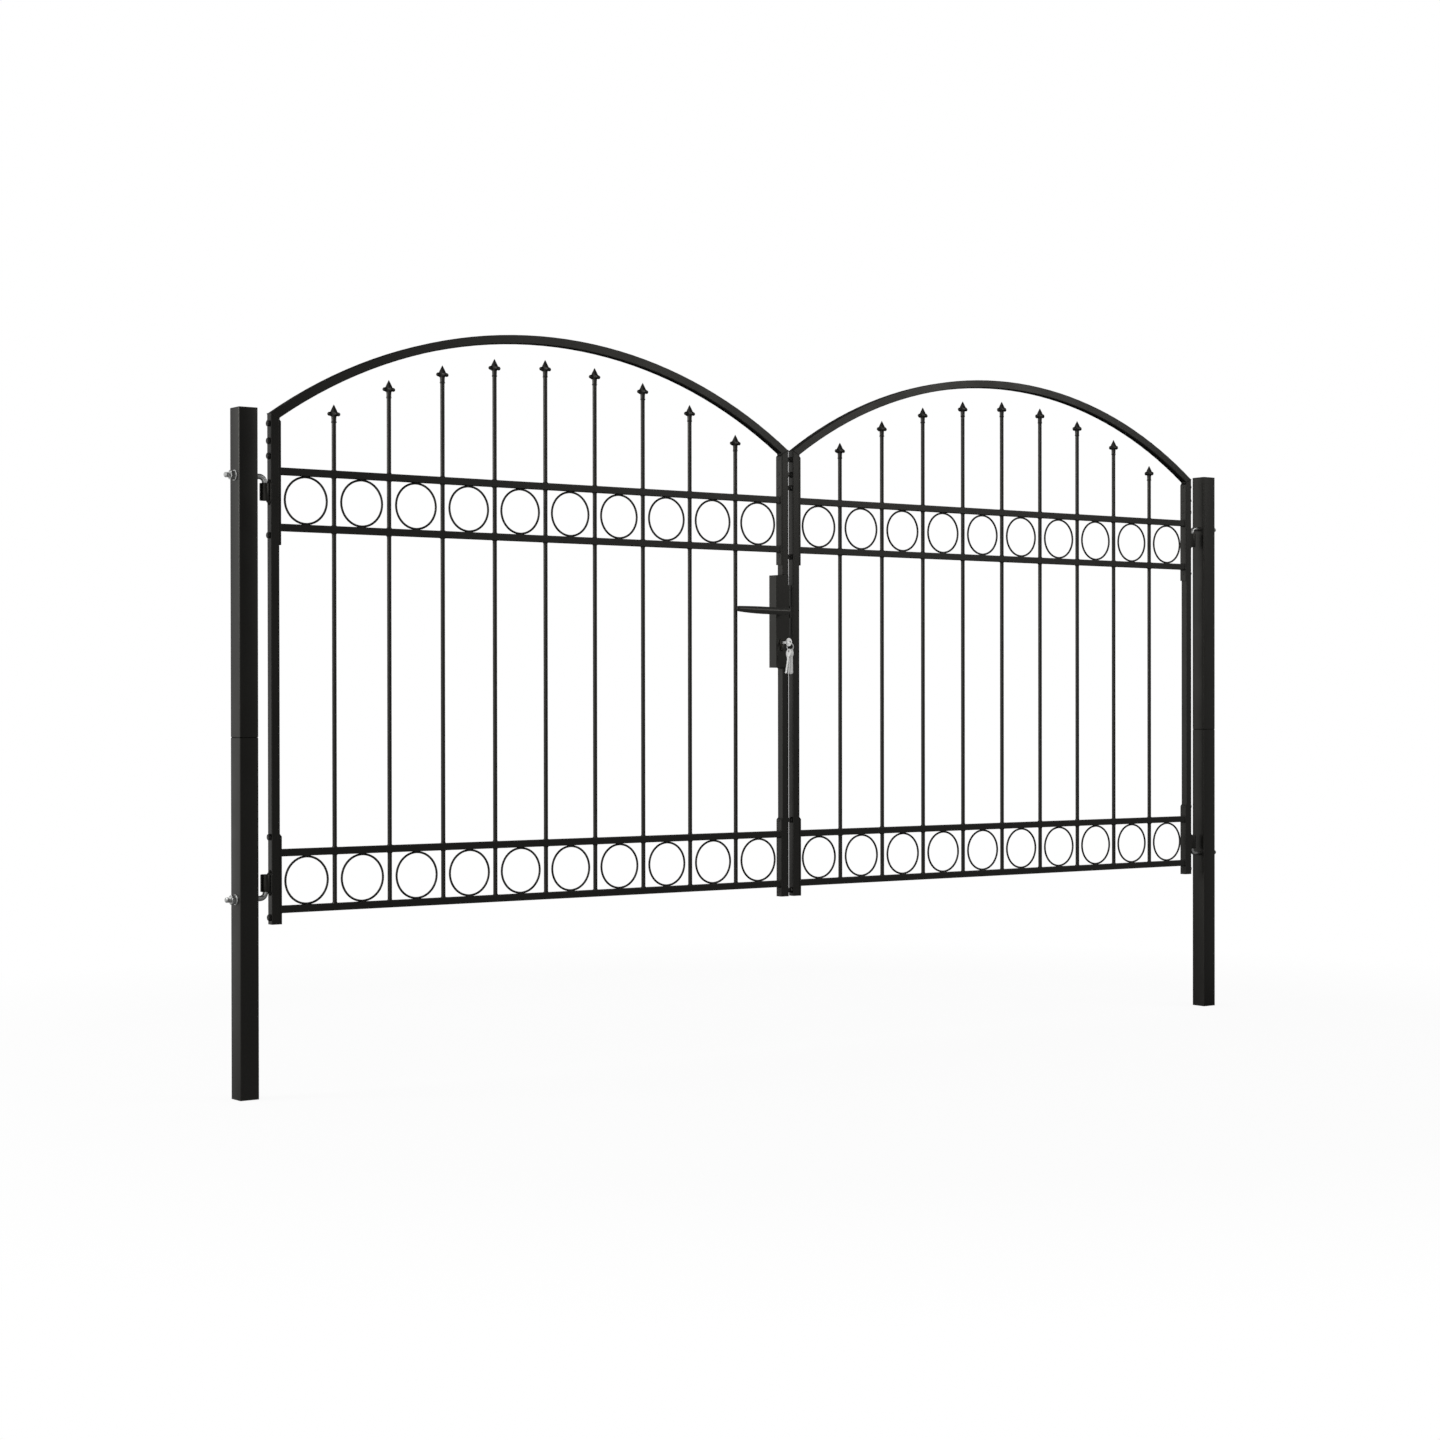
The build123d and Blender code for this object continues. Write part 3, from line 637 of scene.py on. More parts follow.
def panel_bolt_shape():
    """Bolts that hold the panel's end plates to the stiles: heads outside, chamfered ends inside."""
    bm = bmesh.new()
    head = shape_of(hexagon(head_outline(BOLT_FLATS, BOLT_HEAD), BOLT_FLATS))
    chamfer = 0.6 * BOLT_PROUD
    shank = [(0, 0), (BOLT_RADIUS, 0), (BOLT_RADIUS, BOLT_PROUD - chamfer)]
    end = shape_of(spun(shank + [(BOLT_RADIUS - chamfer, BOLT_PROUD), (0, BOLT_PROUD)]))
    plate_left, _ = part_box("left_upper_end_plates")
    panel_left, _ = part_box("left_panel")
    grip = FRAME_WIDTH + panel_left.x - plate_left.x
    stop = 0.0
    further = 0.37
    for outer, inward in ((LEAF_LEFT, 1), (LEAF_RIGHT, -1)):
        to_outside = turned(-inward * QUARTER_TURN, "Y")
        to_inside = turned(inward * QUARTER_TURN, "Y")
        for height in PANEL_BOLT_HEIGHTS:
            stop += further
            add(bm, head, place(outer, 0, height, to_outside @ turned(stop, "Z")))
            add(bm, end, place(outer + inward * grip, 0, height, to_inside))
    return bm


# Spear tips

def tip_point(number):
    """The point of a spear, counted from the middle picket."""
    offset = number * PICKET_SPACING
    height = TIP_ARC_TOP - TIP_ARC_RADIUS + math.sqrt(TIP_ARC_RADIUS ** 2 - offset ** 2)
    return Vector((LEAF_CENTRE + offset, 0, height))


# Radius and height, from the point down
TIP_OUTLINE = [
    (0, 0.0012),
    (0.0014, -0.0012),
    (0.0036, -0.0060),
    (0.0058, -0.0105),
    (0.0078, -0.0150),
    (0.0086, -0.0185),
    (0.0074, -0.0230),
    (0.0059, -0.0270),
    (0.0056, -TIP_HEIGHT),
    (0.0055, -TIP_SOCKET),
    (0, -TIP_SOCKET),
]


def cast_tip():
    """One cast spear tip with its point at the origin: a hollow-sided point over four blunt lobes."""
    bm = spun(TIP_OUTLINE, ROUND_SIDES)
    lobe_drop = -0.0210
    lobe_reach = 0.0113
    lobe_radius = 0.0050
    lobe_size = (0.95, 0.88, 0.92, 1)
    arm_drop = -0.0206
    arm_reach = 0.0065
    arm_sizes = {"radius1": 0.0056, "radius2": 0.0043, "depth": 0.0090}
    for quarter in range(4):
        outward = turned(quarter * QUARTER_TURN, "Z")
        lobe = outward @ place(lobe_reach, 0, lobe_drop) @ Matrix.Diagonal(lobe_size)
        bmesh.ops.create_uvsphere(bm, u_segments=16, v_segments=10, radius=lobe_radius, matrix=lobe)
        arm = outward @ place(arm_reach, 0, arm_drop, turned(QUARTER_TURN, "Y"))
        bmesh.ops.create_cone(bm, cap_ends=True, segments=16, matrix=arm, **arm_sizes)
    cast = in_scene("cast_tip", shape_of(bm))
    skin = cast.modifiers.new("skin", "REMESH")
    skin.mode = "VOXEL"
    skin.voxel_size = 0.00085
    soften = cast.modifiers.new("soften", "SMOOTH")
    soften.factor = 0.5
    soften.iterations = 6
    bpy.context.view_layer.update()
    solved = cast.evaluated_get(bpy.context.evaluated_depsgraph_get())
    mesh = bpy.data.meshes.new_from_object(solved)
    bpy.data.objects.remove(cast)
    return mesh


def spear_tip_shape(tip):
    """The nine spear tips of a leaf, each with the bead that joins it to its picket."""
    bm = bmesh.new()
    lump = 0.0006
    for number in PICKETS:
        point = tip_point(number)
        add(bm, tip, place(*point))
        add_collar(bm, point.x, point.z - TIP_SOCKET, lump)
    return bm


# Welds

def collar_bead():
    """A bead round a picket: a low rounded ring about 2 mm high on each side of its middle."""
    inside = PICKET_RADIUS - 0.0008
    shoulder = PICKET_RADIUS + 0.0007
    crest = PICKET_RADIUS + 0.0014
    edge = 0.0022
    bend = 0.0016
    outline = [(inside, -edge), (shoulder, -bend), (crest, 0), (shoulder, bend), (inside, edge)]
    return shape_of(spun(outline, COLLAR_SIDES))


COLLAR = collar_bead()
COLLAR_LUMP_SIZE = 0.003


def add_collar(bm, x, height, lump):
    """Add a collar bead round the picket at x."""
    count = len(bm.verts)
    add(bm, COLLAR, place(x, 0, height))
    lumpy(new_corners(bm, count), lump, COLLAR_LUMP_SIZE)


def bead(bm, start, end, radius=BEAD_RADIUS):
    """A straight weld bead with ripples, its axis on the corner that it fills."""
    start = Vector(start)
    end = Vector(end)
    along = end - start
    ripple = radius * 0.8
    wave = 2.6 * ripple
    swell = 0.07
    blunt_end = 0.45
    widening = 0.6
    count = len(bm.verts)
    where = Matrix.Translation((start + end) / 2) @ along.to_track_quat("Z", "Y").to_matrix().to_4x4()
    segments = 8 if radius <= BEAD_RADIUS else 16
    sizes = {"radius1": radius, "radius2": radius, "depth": along.length}
    bmesh.ops.create_cone(bm, cap_ends=True, segments=segments, matrix=where, **sizes)
    nearly_whole = 0.9 * along.length
    edges = edges_at(new_corners(bm, count))
    lengthways = [edge for edge in edges if edge.calc_length() > nearly_whole]
    cuts = max(3, int(along.length / ripple))
    bmesh.ops.subdivide_edges(bm, edges=lengthways, cuts=cuts)
    direction = along.normalized()
    for corner in new_corners(bm, count):
        reach = (corner.co - start).dot(direction)
        foot = start + direction * reach
        size = 1 + swell * math.sin(FULL_TURN * reach / wave)
        taper = min(1.0, blunt_end + min(reach, along.length - reach) / radius * widening)
        corner.co = foot + (corner.co - foot) * size * taper
    lumpy(new_corners(bm, count), radius * 0.16, radius * 2.2)


def tack(bm, x, y, z):
    """A single weld spot, flattened and stretched along X."""
    count = len(bm.verts)
    where = place(x, y, z) @ Matrix.Diagonal(TACK_STRETCH)
    bmesh.ops.create_icosphere(bm, subdivisions=2, radius=TACK_RADIUS, matrix=where)
    lumpy(new_corners(bm, count), TACK_RADIUS * 0.28, TACK_RADIUS * 1.2)


def panel_weld_shape():
    """Beads where pickets cross the rails, spots where rings touch them, and seams at the end plates."""
    bm = bmesh.new()
    lump = 0.0008
    tack_set_back = 0.0018
    lowest = RAIL_TOPS[-1]
    for rail_top in RAIL_TOPS:
        faces = (rail_top,) if rail_top == lowest else (rail_top, rail_top - RAIL)
        for number in PICKETS:
            for height in faces:
                add_collar(bm, LEAF_CENTRE + number * PICKET_SPACING, height, lump)
    for upper, lower in (RAIL_TOPS[0:2], RAIL_TOPS[2:4]):
        for number in range(-PICKETS_EACH_SIDE, PICKETS_EACH_SIDE + 2):
            ring_x = LEAF_CENTRE + (number - 0.5) * PICKET_SPACING
            for height in (upper - RAIL, lower):
                for front in (-tack_set_back, tack_set_back):
                    tack(bm, ring_x, front, height)
    half = RAIL / 2
    for rail_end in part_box("left_panel"):
        plate_x = rail_end.x
        for rail_top in RAIL_TOPS:
            foot = rail_top - RAIL
            for front in (-half, half):
                bead(bm, (plate_x, front, foot), (plate_x, front, rail_top))
            for height in (foot, rail_top):
                bead(bm, (plate_x, -half, height), (plate_x, half, height))
    return bm


def frame_weld_shape():
    """Dressed seams on the mitres between stiles and arch."""
    bm = bmesh.new()
    half = FRAME_WIDTH / 2
    dressed = BEAD_RADIUS * 0.5
    mitres = ((LEAF_LEFT, PANEL_LEFT, stile_high.z), (LEAF_RIGHT, PANEL_RIGHT, lock_stile_high.z))
    for outer, inner, head in mitres:
        for front in (-half, half):
            bead(bm, (outer, front, head), (inner, front, INNER_MITRE), dressed)
        bead(bm, (outer, -half, head), (outer, half, head), dressed)
        bead(bm, (inner, -half, INNER_MITRE), (inner, half, INNER_MITRE), BEAD_RADIUS)
    return bm


def hinge_weld_shape():
    """Flared beads down both sides of each hinge sleeve's web, running on above and below it."""
    bm = bmesh.new()
    overrun = 0.009
    lap = 0.002
    set_out = 0.0005
    side_bead = 0.0030
    end_bead = 0.0036
    run_out = 0.0042
    for name in SLEEVES:
        low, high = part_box(name)
        foot = low.z - overrun / 3
        head = high.z + overrun / 3
        for front in (-WEB_HALF, WEB_HALF):
            bead(bm, (LEAF_LEFT, front, foot), (LEAF_LEFT, front, head), side_bead)
        for end, way in ((high.z, 1), (low.z, -1)):
            bead(bm, (LEAF_LEFT, -WEB_HALF, end), (LEAF_LEFT, WEB_HALF, end), end_bead)
            start = (LEAF_LEFT - set_out, 0, end - way * lap)
            bead(bm, start, (LEAF_LEFT, 0, end + way * overrun), run_out)
    return bm


def lock_weld_shape():
    """Beads where the lock's case is welded between the two lengths of the stile."""
    bm = bmesh.new()
    half = FRAME_WIDTH / 2
    for height in (case_low.z, case_high.z):
        for front in (-half, half):
            bead(bm, (PANEL_RIGHT, front, height), (case_high.x, front, height))
        bead(bm, (PANEL_RIGHT, -half, height), (PANEL_RIGHT, half, height))
    return bm


# Lock parts

def loft(bm, ring, stations, forward):
    """Carry a ring of corners through stations of (distance, height, depth), scaled from the first."""
    loop = edges_at(ring)
    distance, height, depth = stations[0]
    for next_distance, next_height, next_depth in stations[1:]:
        corners, loop = extend(bm, loop)
        bmesh.ops.translate(bm, verts=corners, vec=forward * (next_distance - distance))
        bmesh.ops.scale(bm, vec=(1, next_depth / depth, next_height / height), verts=corners)
        distance, height, depth = next_distance, next_height, next_depth
    return loop


LEVER_BACK = 0.0042
LEVER_FRONT = 0.0045
# How far from the spindle towards the tip, half the height there, and the share of the full depth
LEVER_STATIONS = [
    (-0.0088, 0.0040, 0.55),
    (-0.0084, 0.0054, 0.72),
    (-0.0074, 0.0068, 0.88),
    (-0.0054, 0.0080, 0.97),
    (-0.0026, 0.0087, 1.0),
    (0.002, 0.0089, 1.0),
    (0.025, 0.0089, 1.0),
    (0.050, 0.0091, 1.0),
    (0.075, 0.0093, 1.0),
    (0.100, 0.0090, 0.97),
    (0.120, 0.0084, 0.93),
    (0.137, 0.0077, 0.90),
    (0.149, 0.0071, 0.86),
    (0.1540, 0.0064, 0.80),
    (0.1562, 0.0052, 0.66),
    (0.1570, 0.0036, 0.45),
]
# Radius, and distance from the back of the lever
LEVER_NECK = [
    (0, 0),
    (0.0075, 0),
    (0.0075, 0.0020),
    (0.0066, 0.0032),
    (0.0066, 0.0150),
    (0.0080, 0.0205),
    (0, 0.0205),
]


def lever_shape():
    """The lever: a bowed bar with a ridge along its front, rising to a blunt tip, on a round neck."""
    low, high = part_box("lever")
    bm = bmesh.new()
    ridge_sharpness = 1.5
    circle(bm, 1, 28, turned(QUARTER_TURN, "Y"))
    first_distance, first_height, first_depth = LEVER_STATIONS[0]
    for corner in bm.verts:
        rise = corner.co.z
        if corner.co.y < 0:
            depth = -LEVER_FRONT * (1 - abs(rise) ** ridge_sharpness)
        else:
            depth = LEVER_BACK * math.sqrt(max(0.0, 1 - rise ** 2))
        corner.co.y = depth * first_depth
        corner.co.z = rise * first_height
    bmesh.ops.translate(bm, verts=bm.verts, vec=(-first_distance, 0, 0))
    hub_end = list(bm.edges)
    tip_end = loft(bm, list(bm.verts), LEVER_STATIONS, Vector((-1, 0, 0)))
    bmesh.ops.contextual_create(bm, geom=hub_end)
    bmesh.ops.contextual_create(bm, geom=tip_end)
    length = LEVER_STATIONS[-1][0]
    for corner in bm.verts:
        corner.co.z += LEVER_RISE * (corner.co.x / length) ** 2
    face_normals_of(bm)
    bmesh.ops.translate(bm, verts=bm.verts, vec=(SPINDLE_X, low.y + LEVER_FRONT, SPINDLE_HEIGHT))
    neck = shape_of(spun(LEVER_NECK, ROUND_SIDES))
    add(bm, neck, place(SPINDLE_X, high.y, SPINDLE_HEIGHT, turned(QUARTER_TURN, "X")))
    return bm


def barrel_outline(radius, half, bevel, set_back=0.0):
    """Half of a round bar's section from end to end, with bevelled ends."""
    face = half - set_back
    return mirrored([(0, -face), (radius - bevel, -face), (radius, bevel - half)], 0)


def cylinder_shape():
    """The lock cylinder: a round barrel over a web, proud of the case on both sides."""
    low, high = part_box("lock_cylinder")
    barrel = (high.x - low.x) / 2
    half = (high.y - low.y) / 2
    bevel = 0.0006
    web_half = 0.005
    set_back = 0.0002
    web_foot = low.z + web_half
    to_front = turned(QUARTER_TURN, "X")
    bm = bmesh.new()
    round_part = shape_of(spun(barrel_outline(barrel, half, bevel), WIDE_SIDES))
    add(bm, round_part, place(SPINDLE_X, 0, CYLINDER_HEIGHT, to_front))
    count = len(bm.verts)
    web = shape_of(spun(barrel_outline(web_half, half, bevel, set_back)))
    add(bm, web, place(SPINDLE_X, 0, web_foot, to_front))
    for corner in new_corners(bm, count):
        if corner.co.z > web_foot:
            corner.co.z += CYLINDER_HEIGHT - web_foot - web_half
    return bm


def disc(bm, radius, segments, rim):
    """A flat disc in the XY plane with a border. Returns its outer edge."""
    circle(bm, radius, segments, filled=True)
    edge_loop = list(bm.edges)
    bmesh.ops.inset_region(bm, faces=list(bm.faces), thickness=rim, use_even_offset=True)
    return edge_loop


def widest_face(bm):
    """The face with the most corners."""
    return max(bm.faces, key=lambda face: len(face.verts))


def sink(bm, face, depth):
    """Push a face in and keep walls round it. Returns its corners."""
    deeper = bmesh.ops.extrude_discrete_faces(bm, faces=[face])["faces"][0]
    bmesh.ops.translate(bm, verts=deeper.verts, vec=(0, 0, -depth))
    return deeper.verts


def finish_disc(bm, edge_loop, depth, where):
    """Carry the outer edge of a disc down and put the whole in its place."""
    corners, _ = extend(bm, [edge for edge in edge_loop if edge.is_valid])
    bmesh.ops.translate(bm, verts=corners, vec=(0, 0, -depth))
    face_normals_of(bm)
    bmesh.ops.transform(bm, matrix=where, verts=bm.verts)


def plug_shape():
    """The turning plug in the front of the cylinder, with its keyway."""
    low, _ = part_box("lock_cylinder")
    radius = 0.0052
    thickness = 0.0015
    proud = 0.0004
    rim = 0.0004
    slot_rim = 0.0003
    slot_size = (0.30, 0.94, 1)
    slot_depth = 0.006
    bm = bmesh.new()
    edge_loop = disc(bm, radius, ROUND_SIDES, rim)
    bmesh.ops.inset_region(bm, faces=[widest_face(bm)], thickness=slot_rim, use_even_offset=True)
    slot = widest_face(bm)
    bmesh.ops.scale(bm, vec=slot_size, verts=slot.verts)
    sink(bm, slot, slot_depth)
    where = place(SPINDLE_X, low.y - proud, CYLINDER_HEIGHT, turned(QUARTER_TURN, "X"))
    finish_disc(bm, edge_loop, thickness, where)
    return bm


KEY_CUTS = (0.0, 0.0012, 0.0026, 0.0014, 0.0030, 0.0018, 0.0024, 0.0010, 0.0028, 0.0012, 0.0)


def key_mesh():
    """A flat key in the XZ plane, hung by the hole in its bow from the origin, with a cut blade."""
    thickness = 0.0020
    bow_radius = 0.0110
    hole_radius = 0.0030
    blade_half = 0.0040
    blade_length = 0.043
    blade_start = 0.86
    overlap = 0.001
    point_length = 0.0022
    narrow = 0.88
    square_up = 0.06
    bow_centre = -(bow_radius - KEY_HOLE_INSET)
    bm = bmesh.new()
    lie = turned(QUARTER_TURN, "X")
    outer = circle(bm, bow_radius, ROUND_SIDES, place(0, 0, bow_centre) @ lie)
    for corner in outer:
        corner.co.x *= narrow + square_up * abs(corner.co.x / bow_radius)
    hole = circle(bm, hole_radius, ROUND_SIDES, lie)
    bmesh.ops.bridge_loops(bm, edges=edges_at(outer + hole))
    blade_top = bow_centre - bow_radius * blade_start + overlap
    columns = len(KEY_CUTS) - 1
    size = Matrix.Diagonal((2 * blade_half, blade_length, 1, 1))
    where = place(0, 0, blade_top - blade_length / 2) @ lie @ size
    blade = bmesh.ops.create_grid(bm, x_segments=2, y_segments=columns, size=0.5, matrix=where)["verts"]
    for corner in blade:
        share = (blade_top - corner.co.z) / blade_length
        row = min(columns, max(0, round(share * columns)))
        if corner.co.x > blade_half / 2:
            corner.co.x -= KEY_CUTS[row]
        if row == columns:
            corner.co.z += point_length * abs(corner.co.x / blade_half)
    face_normals_of(bm)
    run = bmesh.ops.extrude_face_region(bm, geom=list(bm.faces))["geom"]
    corners = [item for item in run if isinstance(item, bmesh.types.BMVert)]
    bmesh.ops.translate(bm, verts=corners, vec=(0, thickness, 0))
    bmesh.ops.translate(bm, verts=bm.verts, vec=(0, -thickness / 2, 0))
    face_normals_of(bm)
    steep = 1.2
    edge_round = 0.0003
    rims = [edge for edge in bm.edges if edge.is_manifold and edge.calc_face_angle(0) > steep]
    round_edges(bm, rims, edge_round, clamp_overlap=True)
    return shape_of(bm)


def lock_key_shape(key):
    """The key in the lock, its bow upright in front of the cylinder."""
    low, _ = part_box("lock_key")
    bm = bmesh.new()
    # The blade points into the lock along +Y and the flat of the key faces sideways
    into_lock = turned(QUARTER_TURN, "X") @ turned(QUARTER_TURN, "Z")
    add(bm, key, place(SPINDLE_X, low.y + KEY_HOLE_INSET, CYLINDER_HEIGHT, into_lock))
    return bm


def spare_key_shape(key):
    """Spare keys that hang side by side on the ring, fanned out."""
    ring_low, ring_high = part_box("key_ring")
    ring = (ring_low + ring_high) / 2
    radius = (ring_high.z - ring_low.z - (ring_high.y - ring_low.y)) / 2
    bm = bmesh.new()
    for spread, lean, twist in zip(KEY_SPREADS, KEY_LEANS, KEY_TWISTS):
        height = ring.z - math.sqrt(radius ** 2 - spread ** 2) - KEY_RING_SLACK
        turn = turned(math.radians(lean), "Y") @ turned(QUARTER_TURN + math.radians(twist), "Z")
        add(bm, key, place(ring.x + spread, ring.y, height, turn))
    return bm


def split_ring_shape():
    """A split ring: two turns of flattened wire side by side."""
    low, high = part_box("key_ring")
    wire = 0.00045
    flattened = Matrix.Diagonal((1.6, 1, 1, 1))
    turns = 2 * 0.97
    start_angle = 0.9
    steps = 96
    radius = (high.z - low.z) / 2 - 2 * wire
    bm = bmesh.new()
    start = place(radius, -wire, 0, turned(QUARTER_TURN, "X")) @ flattened
    circle(bm, wire, 8, start, filled=True)
    bmesh.ops.spin(
        bm,
        geom=list(bm.faces),
        cent=(0, 0, 0),
        axis=(0, 1, 0),
        dvec=(0, 2 * wire / (steps / 2), 0),
        angle=FULL_TURN * turns,
        steps=steps,
    )
    face_normals_of(bm)
    where = place(*((low + high) / 2), turned(start_angle, "Y"))
    bmesh.ops.transform(bm, matrix=where, verts=bm.verts)
    return bm


def plate_screw():
    """A countersunk screw head with a cross recess, facing +X, its face at the origin."""
    radius = 0.0042
    rim = 0.0012
    cross_depth = 0.0012
    head_depth = 0.0006
    waist = 0.42
    arm = 0.45
    bm = bmesh.new()
    edge_loop = disc(bm, radius, 24, rim)
    recess = widest_face(bm)
    for corner in recess.verts:
        angle = math.atan2(corner.co.y, corner.co.x)
        corner.co.xy *= waist + arm * abs(math.cos(2 * angle)) ** 3
    bmesh.ops.scale(bm, vec=(0.5, 0.5, 1), verts=sink(bm, recess, cross_depth))
    finish_disc(bm, edge_loop, head_depth, turned(QUARTER_TURN, "Y"))
    return shape_of(bm)


def add_screws(bm, low, high, x, turn=Matrix()):
    """A screw near each end of an upright plate."""
    screw = plate_screw()
    for height in (low.z + SCREW_INSET, high.z - SCREW_INSET):
        add(bm, screw, place(x, 0, height, turn))


def face_plate_fittings():
    """Screws, latch nose and bolt end that show in the lock's face plate."""
    low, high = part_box("lock_face_plate")
    set_back = 0.0006
    length = 0.0016
    depth = 0.0105
    edge_round = 0.0005
    latch_tall = 0.024
    bolt_tall = 0.022
    bm = bmesh.new()
    add_screws(bm, low, high, high.x + SCREW_PROUD)
    for height, tall in ((SPINDLE_HEIGHT, latch_tall), (CYLINDER_HEIGHT, bolt_tall)):
        where = place(high.x - set_back, 0, height) @ Matrix.Diagonal((length, depth, tall, 1))
        block = bmesh.ops.create_cube(bm, size=1, matrix=where)["verts"]
        round_edges(bm, edges_at(block), edge_round)
    return bm


def keep_fittings():
    """Screws in the keep on the right leaf."""
    low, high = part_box("keep_plate")
    bm = bmesh.new()
    add_screws(bm, low, high, low.x - SCREW_PROUD, turned(math.pi, "Z"))
    return bm


# Posts, whose lengths have a small chamfer at their seam, so that it shows as a dark line

def post_length_shape(foot, head, lower):
    """A length of hollow post with rounded corners, chamfered where it meets the other length."""
    half = POST_FACE
    shrink = 1 - SEAM_CHAMFER / half
    bm = bmesh.new()
    bmesh.ops.create_grid(bm, x_segments=1, y_segments=1, size=half, matrix=place(0, 0, foot))
    more = {"profile": 0.5, "affect": "VERTICES", "material": -1}
    bmesh.ops.bevel(bm, geom=list(bm.verts), offset=POST_CORNER, segments=4, **more)
    base = list(bm.faces)
    loop = [edge for edge in bm.edges if edge.is_boundary]
    if lower:
        steps = [(head - SEAM_CHAMFER, 1.0), (head, shrink)]
    else:
        steps = [(foot + SEAM_CHAMFER, 1.0), (head, 1.0)]
    for height, size in steps:
        corners, loop = extend(bm, loop)
        for corner in corners:
            corner.co.z = height
        bmesh.ops.scale(bm, vec=(size, size, 1), verts=corners)
    if not lower:
        ring = {corner for face in base for corner in face.verts}
        bmesh.ops.scale(bm, vec=(shrink, shrink, 1), verts=list(ring))
    corners, _ = extend(bm, loop)
    inner = 1 - POST_WALL / half
    bmesh.ops.scale(bm, vec=(inner, inner, 1), verts=corners)
    if not lower:
        bmesh.ops.delete(bm, geom=base, context="FACES_ONLY")
    face_normals_of(bm)
    return bm


def make_posts():
    """Both posts' tubes, with the seam between their lengths."""
    coat = "black_coat"
    seam = post_high.z - SPIGOT
    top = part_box("left_post_upper")[1].z
    for name, foot, head, lower in (("lower", 0.0, seam, True), ("upper", seam, top, False)):
        node = f"post_{name}"
        build = functools.partial(post_length_shape, foot, head, lower)
        on_both_sides(build, f"{node}_tube", POSTS, coat, [node], SHARP_POST)


def make_hinges():
    """Bent bolts and nuts on the posts, weld beads on the leaves."""
    zinc = "galvanised"
    for name, height, way in (("upper_hinge", UPPER_ROD, -1), ("lower_hinge", LOWER_ROD, 1)):
        on_both_sides(lambda: hinge_rod_shape(height, way), f"{name}_rod", POSTS, zinc, [f"{name}_bolt"])
    on_both_sides(hinge_nut_shape, "hinge_nut_set", POSTS, zinc, ["hinge_nuts"], SHARP_HEXAGON)
    sleeves = ["upper_hinge_sleeve", "lower_hinge_sleeve"]
    on_both_sides(hinge_sleeve_shape, "hinge_sleeve_set", LEAVES, "black_coat", sleeves, SHARP_SLEEVE)
    on_both_sides(hinge_weld_shape, "hinge_welds", LEAVES, "black_coat", (), SHARP_CAST)


def make_leaves():
    """What dresses both leaves: spear tips, bolts and welds."""
    coat = "black_coat"
    tip = cast_tip()
    on_both_sides(lambda: spear_tip_shape(tip), "cast_tips", LEAVES, coat, ["spear_tips"], SHARP_CAST)
    on_both_sides(panel_bolt_shape, "panel_bolt_set", LEAVES, "black_bolt", ["panel_bolts"], SHARP_HEXAGON)
    on_both_sides(panel_weld_shape, "panel_welds", LEAVES, coat, (), SHARP_CAST)
    on_both_sides(frame_weld_shape, "mitre_welds", LEAVES, coat, (), SHARP_CAST)


def make_lock():
    """The lock's visible parts, its lever and its keys."""
    key = key_mesh()
    piece(lock_weld_shape(), "lock_welds", "left_leaf", "black_coat", (), SHARP_CAST)
    piece(lever_shape(), "lever_handle", "lever", "lever_black", ["lever"], SHARP_LEVER)
    piece(cylinder_shape(), "cylinder_body", "left_leaf", "lock_black", ["lock_cylinder"])
    piece(plug_shape(), "cylinder_plug", "left_leaf", "lock_steel")
    piece(lock_key_shape(key), "key_in_lock", "left_leaf", "key_steel", ["lock_key"])
    piece(spare_key_shape(key), "hanging_keys", "left_leaf", "key_steel", ["spare_keys"])
    piece(split_ring_shape(), "split_ring", "left_leaf", "key_steel", ["key_ring"])
    piece(face_plate_fittings(), "face_plate_fittings", "left_leaf", "lock_steel")
    piece(keep_fittings(), "keep_screws", "right_leaf", "lock_steel")


# Studio

# Name, place, target, size and power
LAMPS = [
    ("left_softbox", (-3.2, 1.2, 2.2), (0.2, 0, 1.0), 1.6, 60),
    ("front_softbox", (5.5, -4.5, 3.4), (GATE_MIDDLE, 0, 0.9), 2.5, 45),
]


def kinds_of_ray(tree):
    """Whether a ray comes from the camera or through glass, and whether gloss mirrors it."""
    path = tree.nodes.new("ShaderNodeLightPath")
    seen = combine(tree, "MAXIMUM", path.outputs["Is Camera Ray"], path.outputs["Is Transmission Ray"])
    return seen, path.outputs["Is Glossy Ray"]


def white_to_view(tree, lit, share, mirrored):
    """White to the camera and through glass, mirrored by gloss at its own strength, else lit as usual."""
    seen, glossy = kinds_of_ray(tree)
    strength = combine(tree, "MAXIMUM", seen, combine(tree, "MULTIPLY", glossy, mirrored))
    white = add_node(tree, "ShaderNodeEmission", None, {"Color": (1, 1, 1, 1), "Strength": strength})
    amount = combine(tree, "MAXIMUM", combine(tree, "MULTIPLY", seen, share), glossy)
    links = {0: amount, 1: lit, 2: white.outputs[0]}
    return add_node(tree, "ShaderNodeMixShader", None, links).outputs[0]


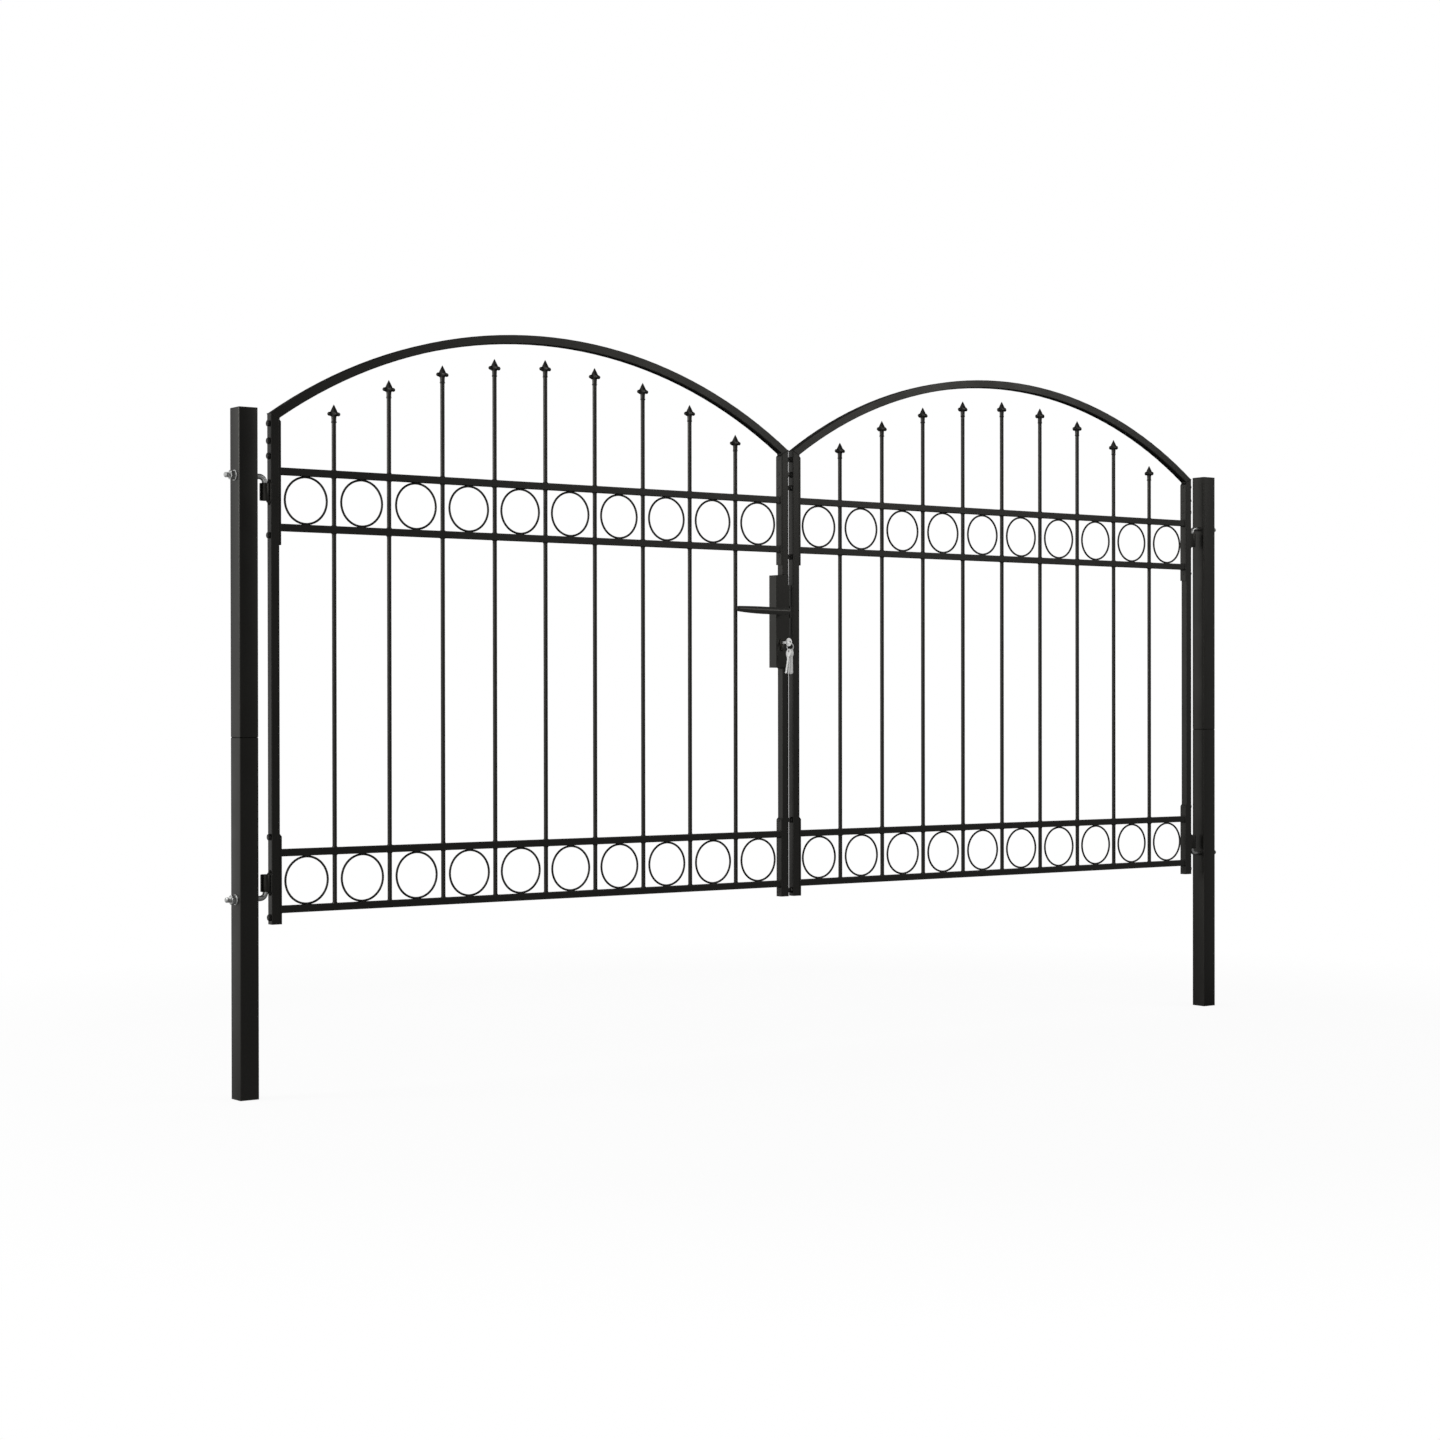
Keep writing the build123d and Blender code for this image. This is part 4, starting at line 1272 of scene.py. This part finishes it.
def make_floor():
    """A pale plain floor that keeps the gate's shadow near it and runs out into white."""
    bm = bmesh.new()
    bmesh.ops.create_grid(bm, x_segments=1, y_segments=1, size=60)
    mesh = shape_of(bm)
    mesh.name = "floor"
    floor = in_scene("floor", mesh)
    material, tree, shader, where = new_finish("pale_floor")
    matt = {"Base Color": (0.95, 0.95, 0.95, 1), "Roughness": 0.9, "Specular IOR Level": 0.0}
    fill_inputs(tree, shader, matt)
    offset = add_node(tree, "ShaderNodeMapping", None, {"Vector": where, "Location": (-GATE_MIDDLE, 0, 0)})
    far = add_node(tree, "ShaderNodeVectorMath", {"operation": "LENGTH"}, {0: offset.outputs[0]})
    # The shadow fades out between these distances from the gate's middle
    shadow_fades = (1.9, 3.0)
    share = ramp(tree, far.outputs["Value"], *shadow_fades, 0.90, 1.0)
    spot = add_node(tree, "ShaderNodeSeparateXYZ", None, {"Vector": where})
    # Gloss mirrors the floor more brightly at the left and in front
    at_left = ramp(tree, spot.outputs["X"], 1.0, -2.0, 0.01, 0.75)
    in_front = ramp(tree, spot.outputs["Y"], 0.2, -0.8, 0.0, 0.20)
    mirrored = combine(tree, "MAXIMUM", at_left, in_front)
    out = white_to_view(tree, shader.outputs[0], share, mirrored)
    tree.links.new(out, tree.nodes["Material Output"].inputs["Surface"])
    mesh.materials.append(material)


def make_sky():
    """The studio round the gate: white behind it, softer light on everything."""
    world = bpy.data.worlds.new("studio")
    bpy.context.scene.world = world
    world.use_nodes = True
    tree = world.node_tree
    tree.nodes.clear()
    seen, glossy = kinds_of_ray(tree)
    direction = tree.nodes.new("ShaderNodeTexCoord").outputs["Generated"]
    across = add_node(tree, "ShaderNodeSeparateXYZ", None, {"Vector": direction}).outputs["X"]
    # Gloss mirrors a bright wall at the left and a dim one at the right
    to_left = ramp(tree, across, 0.0, -0.73, 0.04, 0.95)
    to_right = ramp(tree, across, 0.40, 0.85, 0.02, 0.34)
    mirrored = combine(tree, "MAXIMUM", to_left, to_right)
    plain = 0.65
    unseen = ramp(tree, glossy, 0.0, 1.0, plain, mirrored)
    strength = combine(tree, "MAXIMUM", seen, unseen)
    links = {"Color": (1, 1, 1, 1), "Strength": strength}
    background = add_node(tree, "ShaderNodeBackground", None, links)
    output = tree.nodes.new("ShaderNodeOutputWorld")
    tree.links.new(background.outputs[0], output.inputs["Surface"])


def make_lights():
    """Soft square lamps: one at the left, just behind the gate, and a higher one at the right front."""
    for name, where, target, size, power in LAMPS:
        data = bpy.data.lights.new(name, "AREA")
        data.shape = "SQUARE"
        data.size = size
        data.energy = power
        lamp = in_scene(name, data)
        lamp.location = where
        lamp.rotation_mode = "QUATERNION"
        lamp.rotation_quaternion = (Vector(target) - Vector(where)).to_track_quat("-Z", "Y")


def make_camera():
    """The photo's viewpoint."""
    data = bpy.data.cameras.new("camera")
    data.lens = CAMERA_LENS
    data.sensor_width = CAMERA_SENSOR
    camera = in_scene("camera", data)
    camera.location = CAMERA_PLACE
    aim = turned(-CAMERA_YAW, "Z") @ turned(QUARTER_TURN - CAMERA_DIP, "X") @ turned(CAMERA_ROLL, "Z")
    camera.rotation_euler = aim.to_euler()
    bpy.context.scene.camera = camera


make_camera()
make_posts()
make_hinges()
make_leaves()
make_lock()
make_floor()
make_sky()
make_lights()
bpy.context.scene.view_settings.view_transform = "Standard"
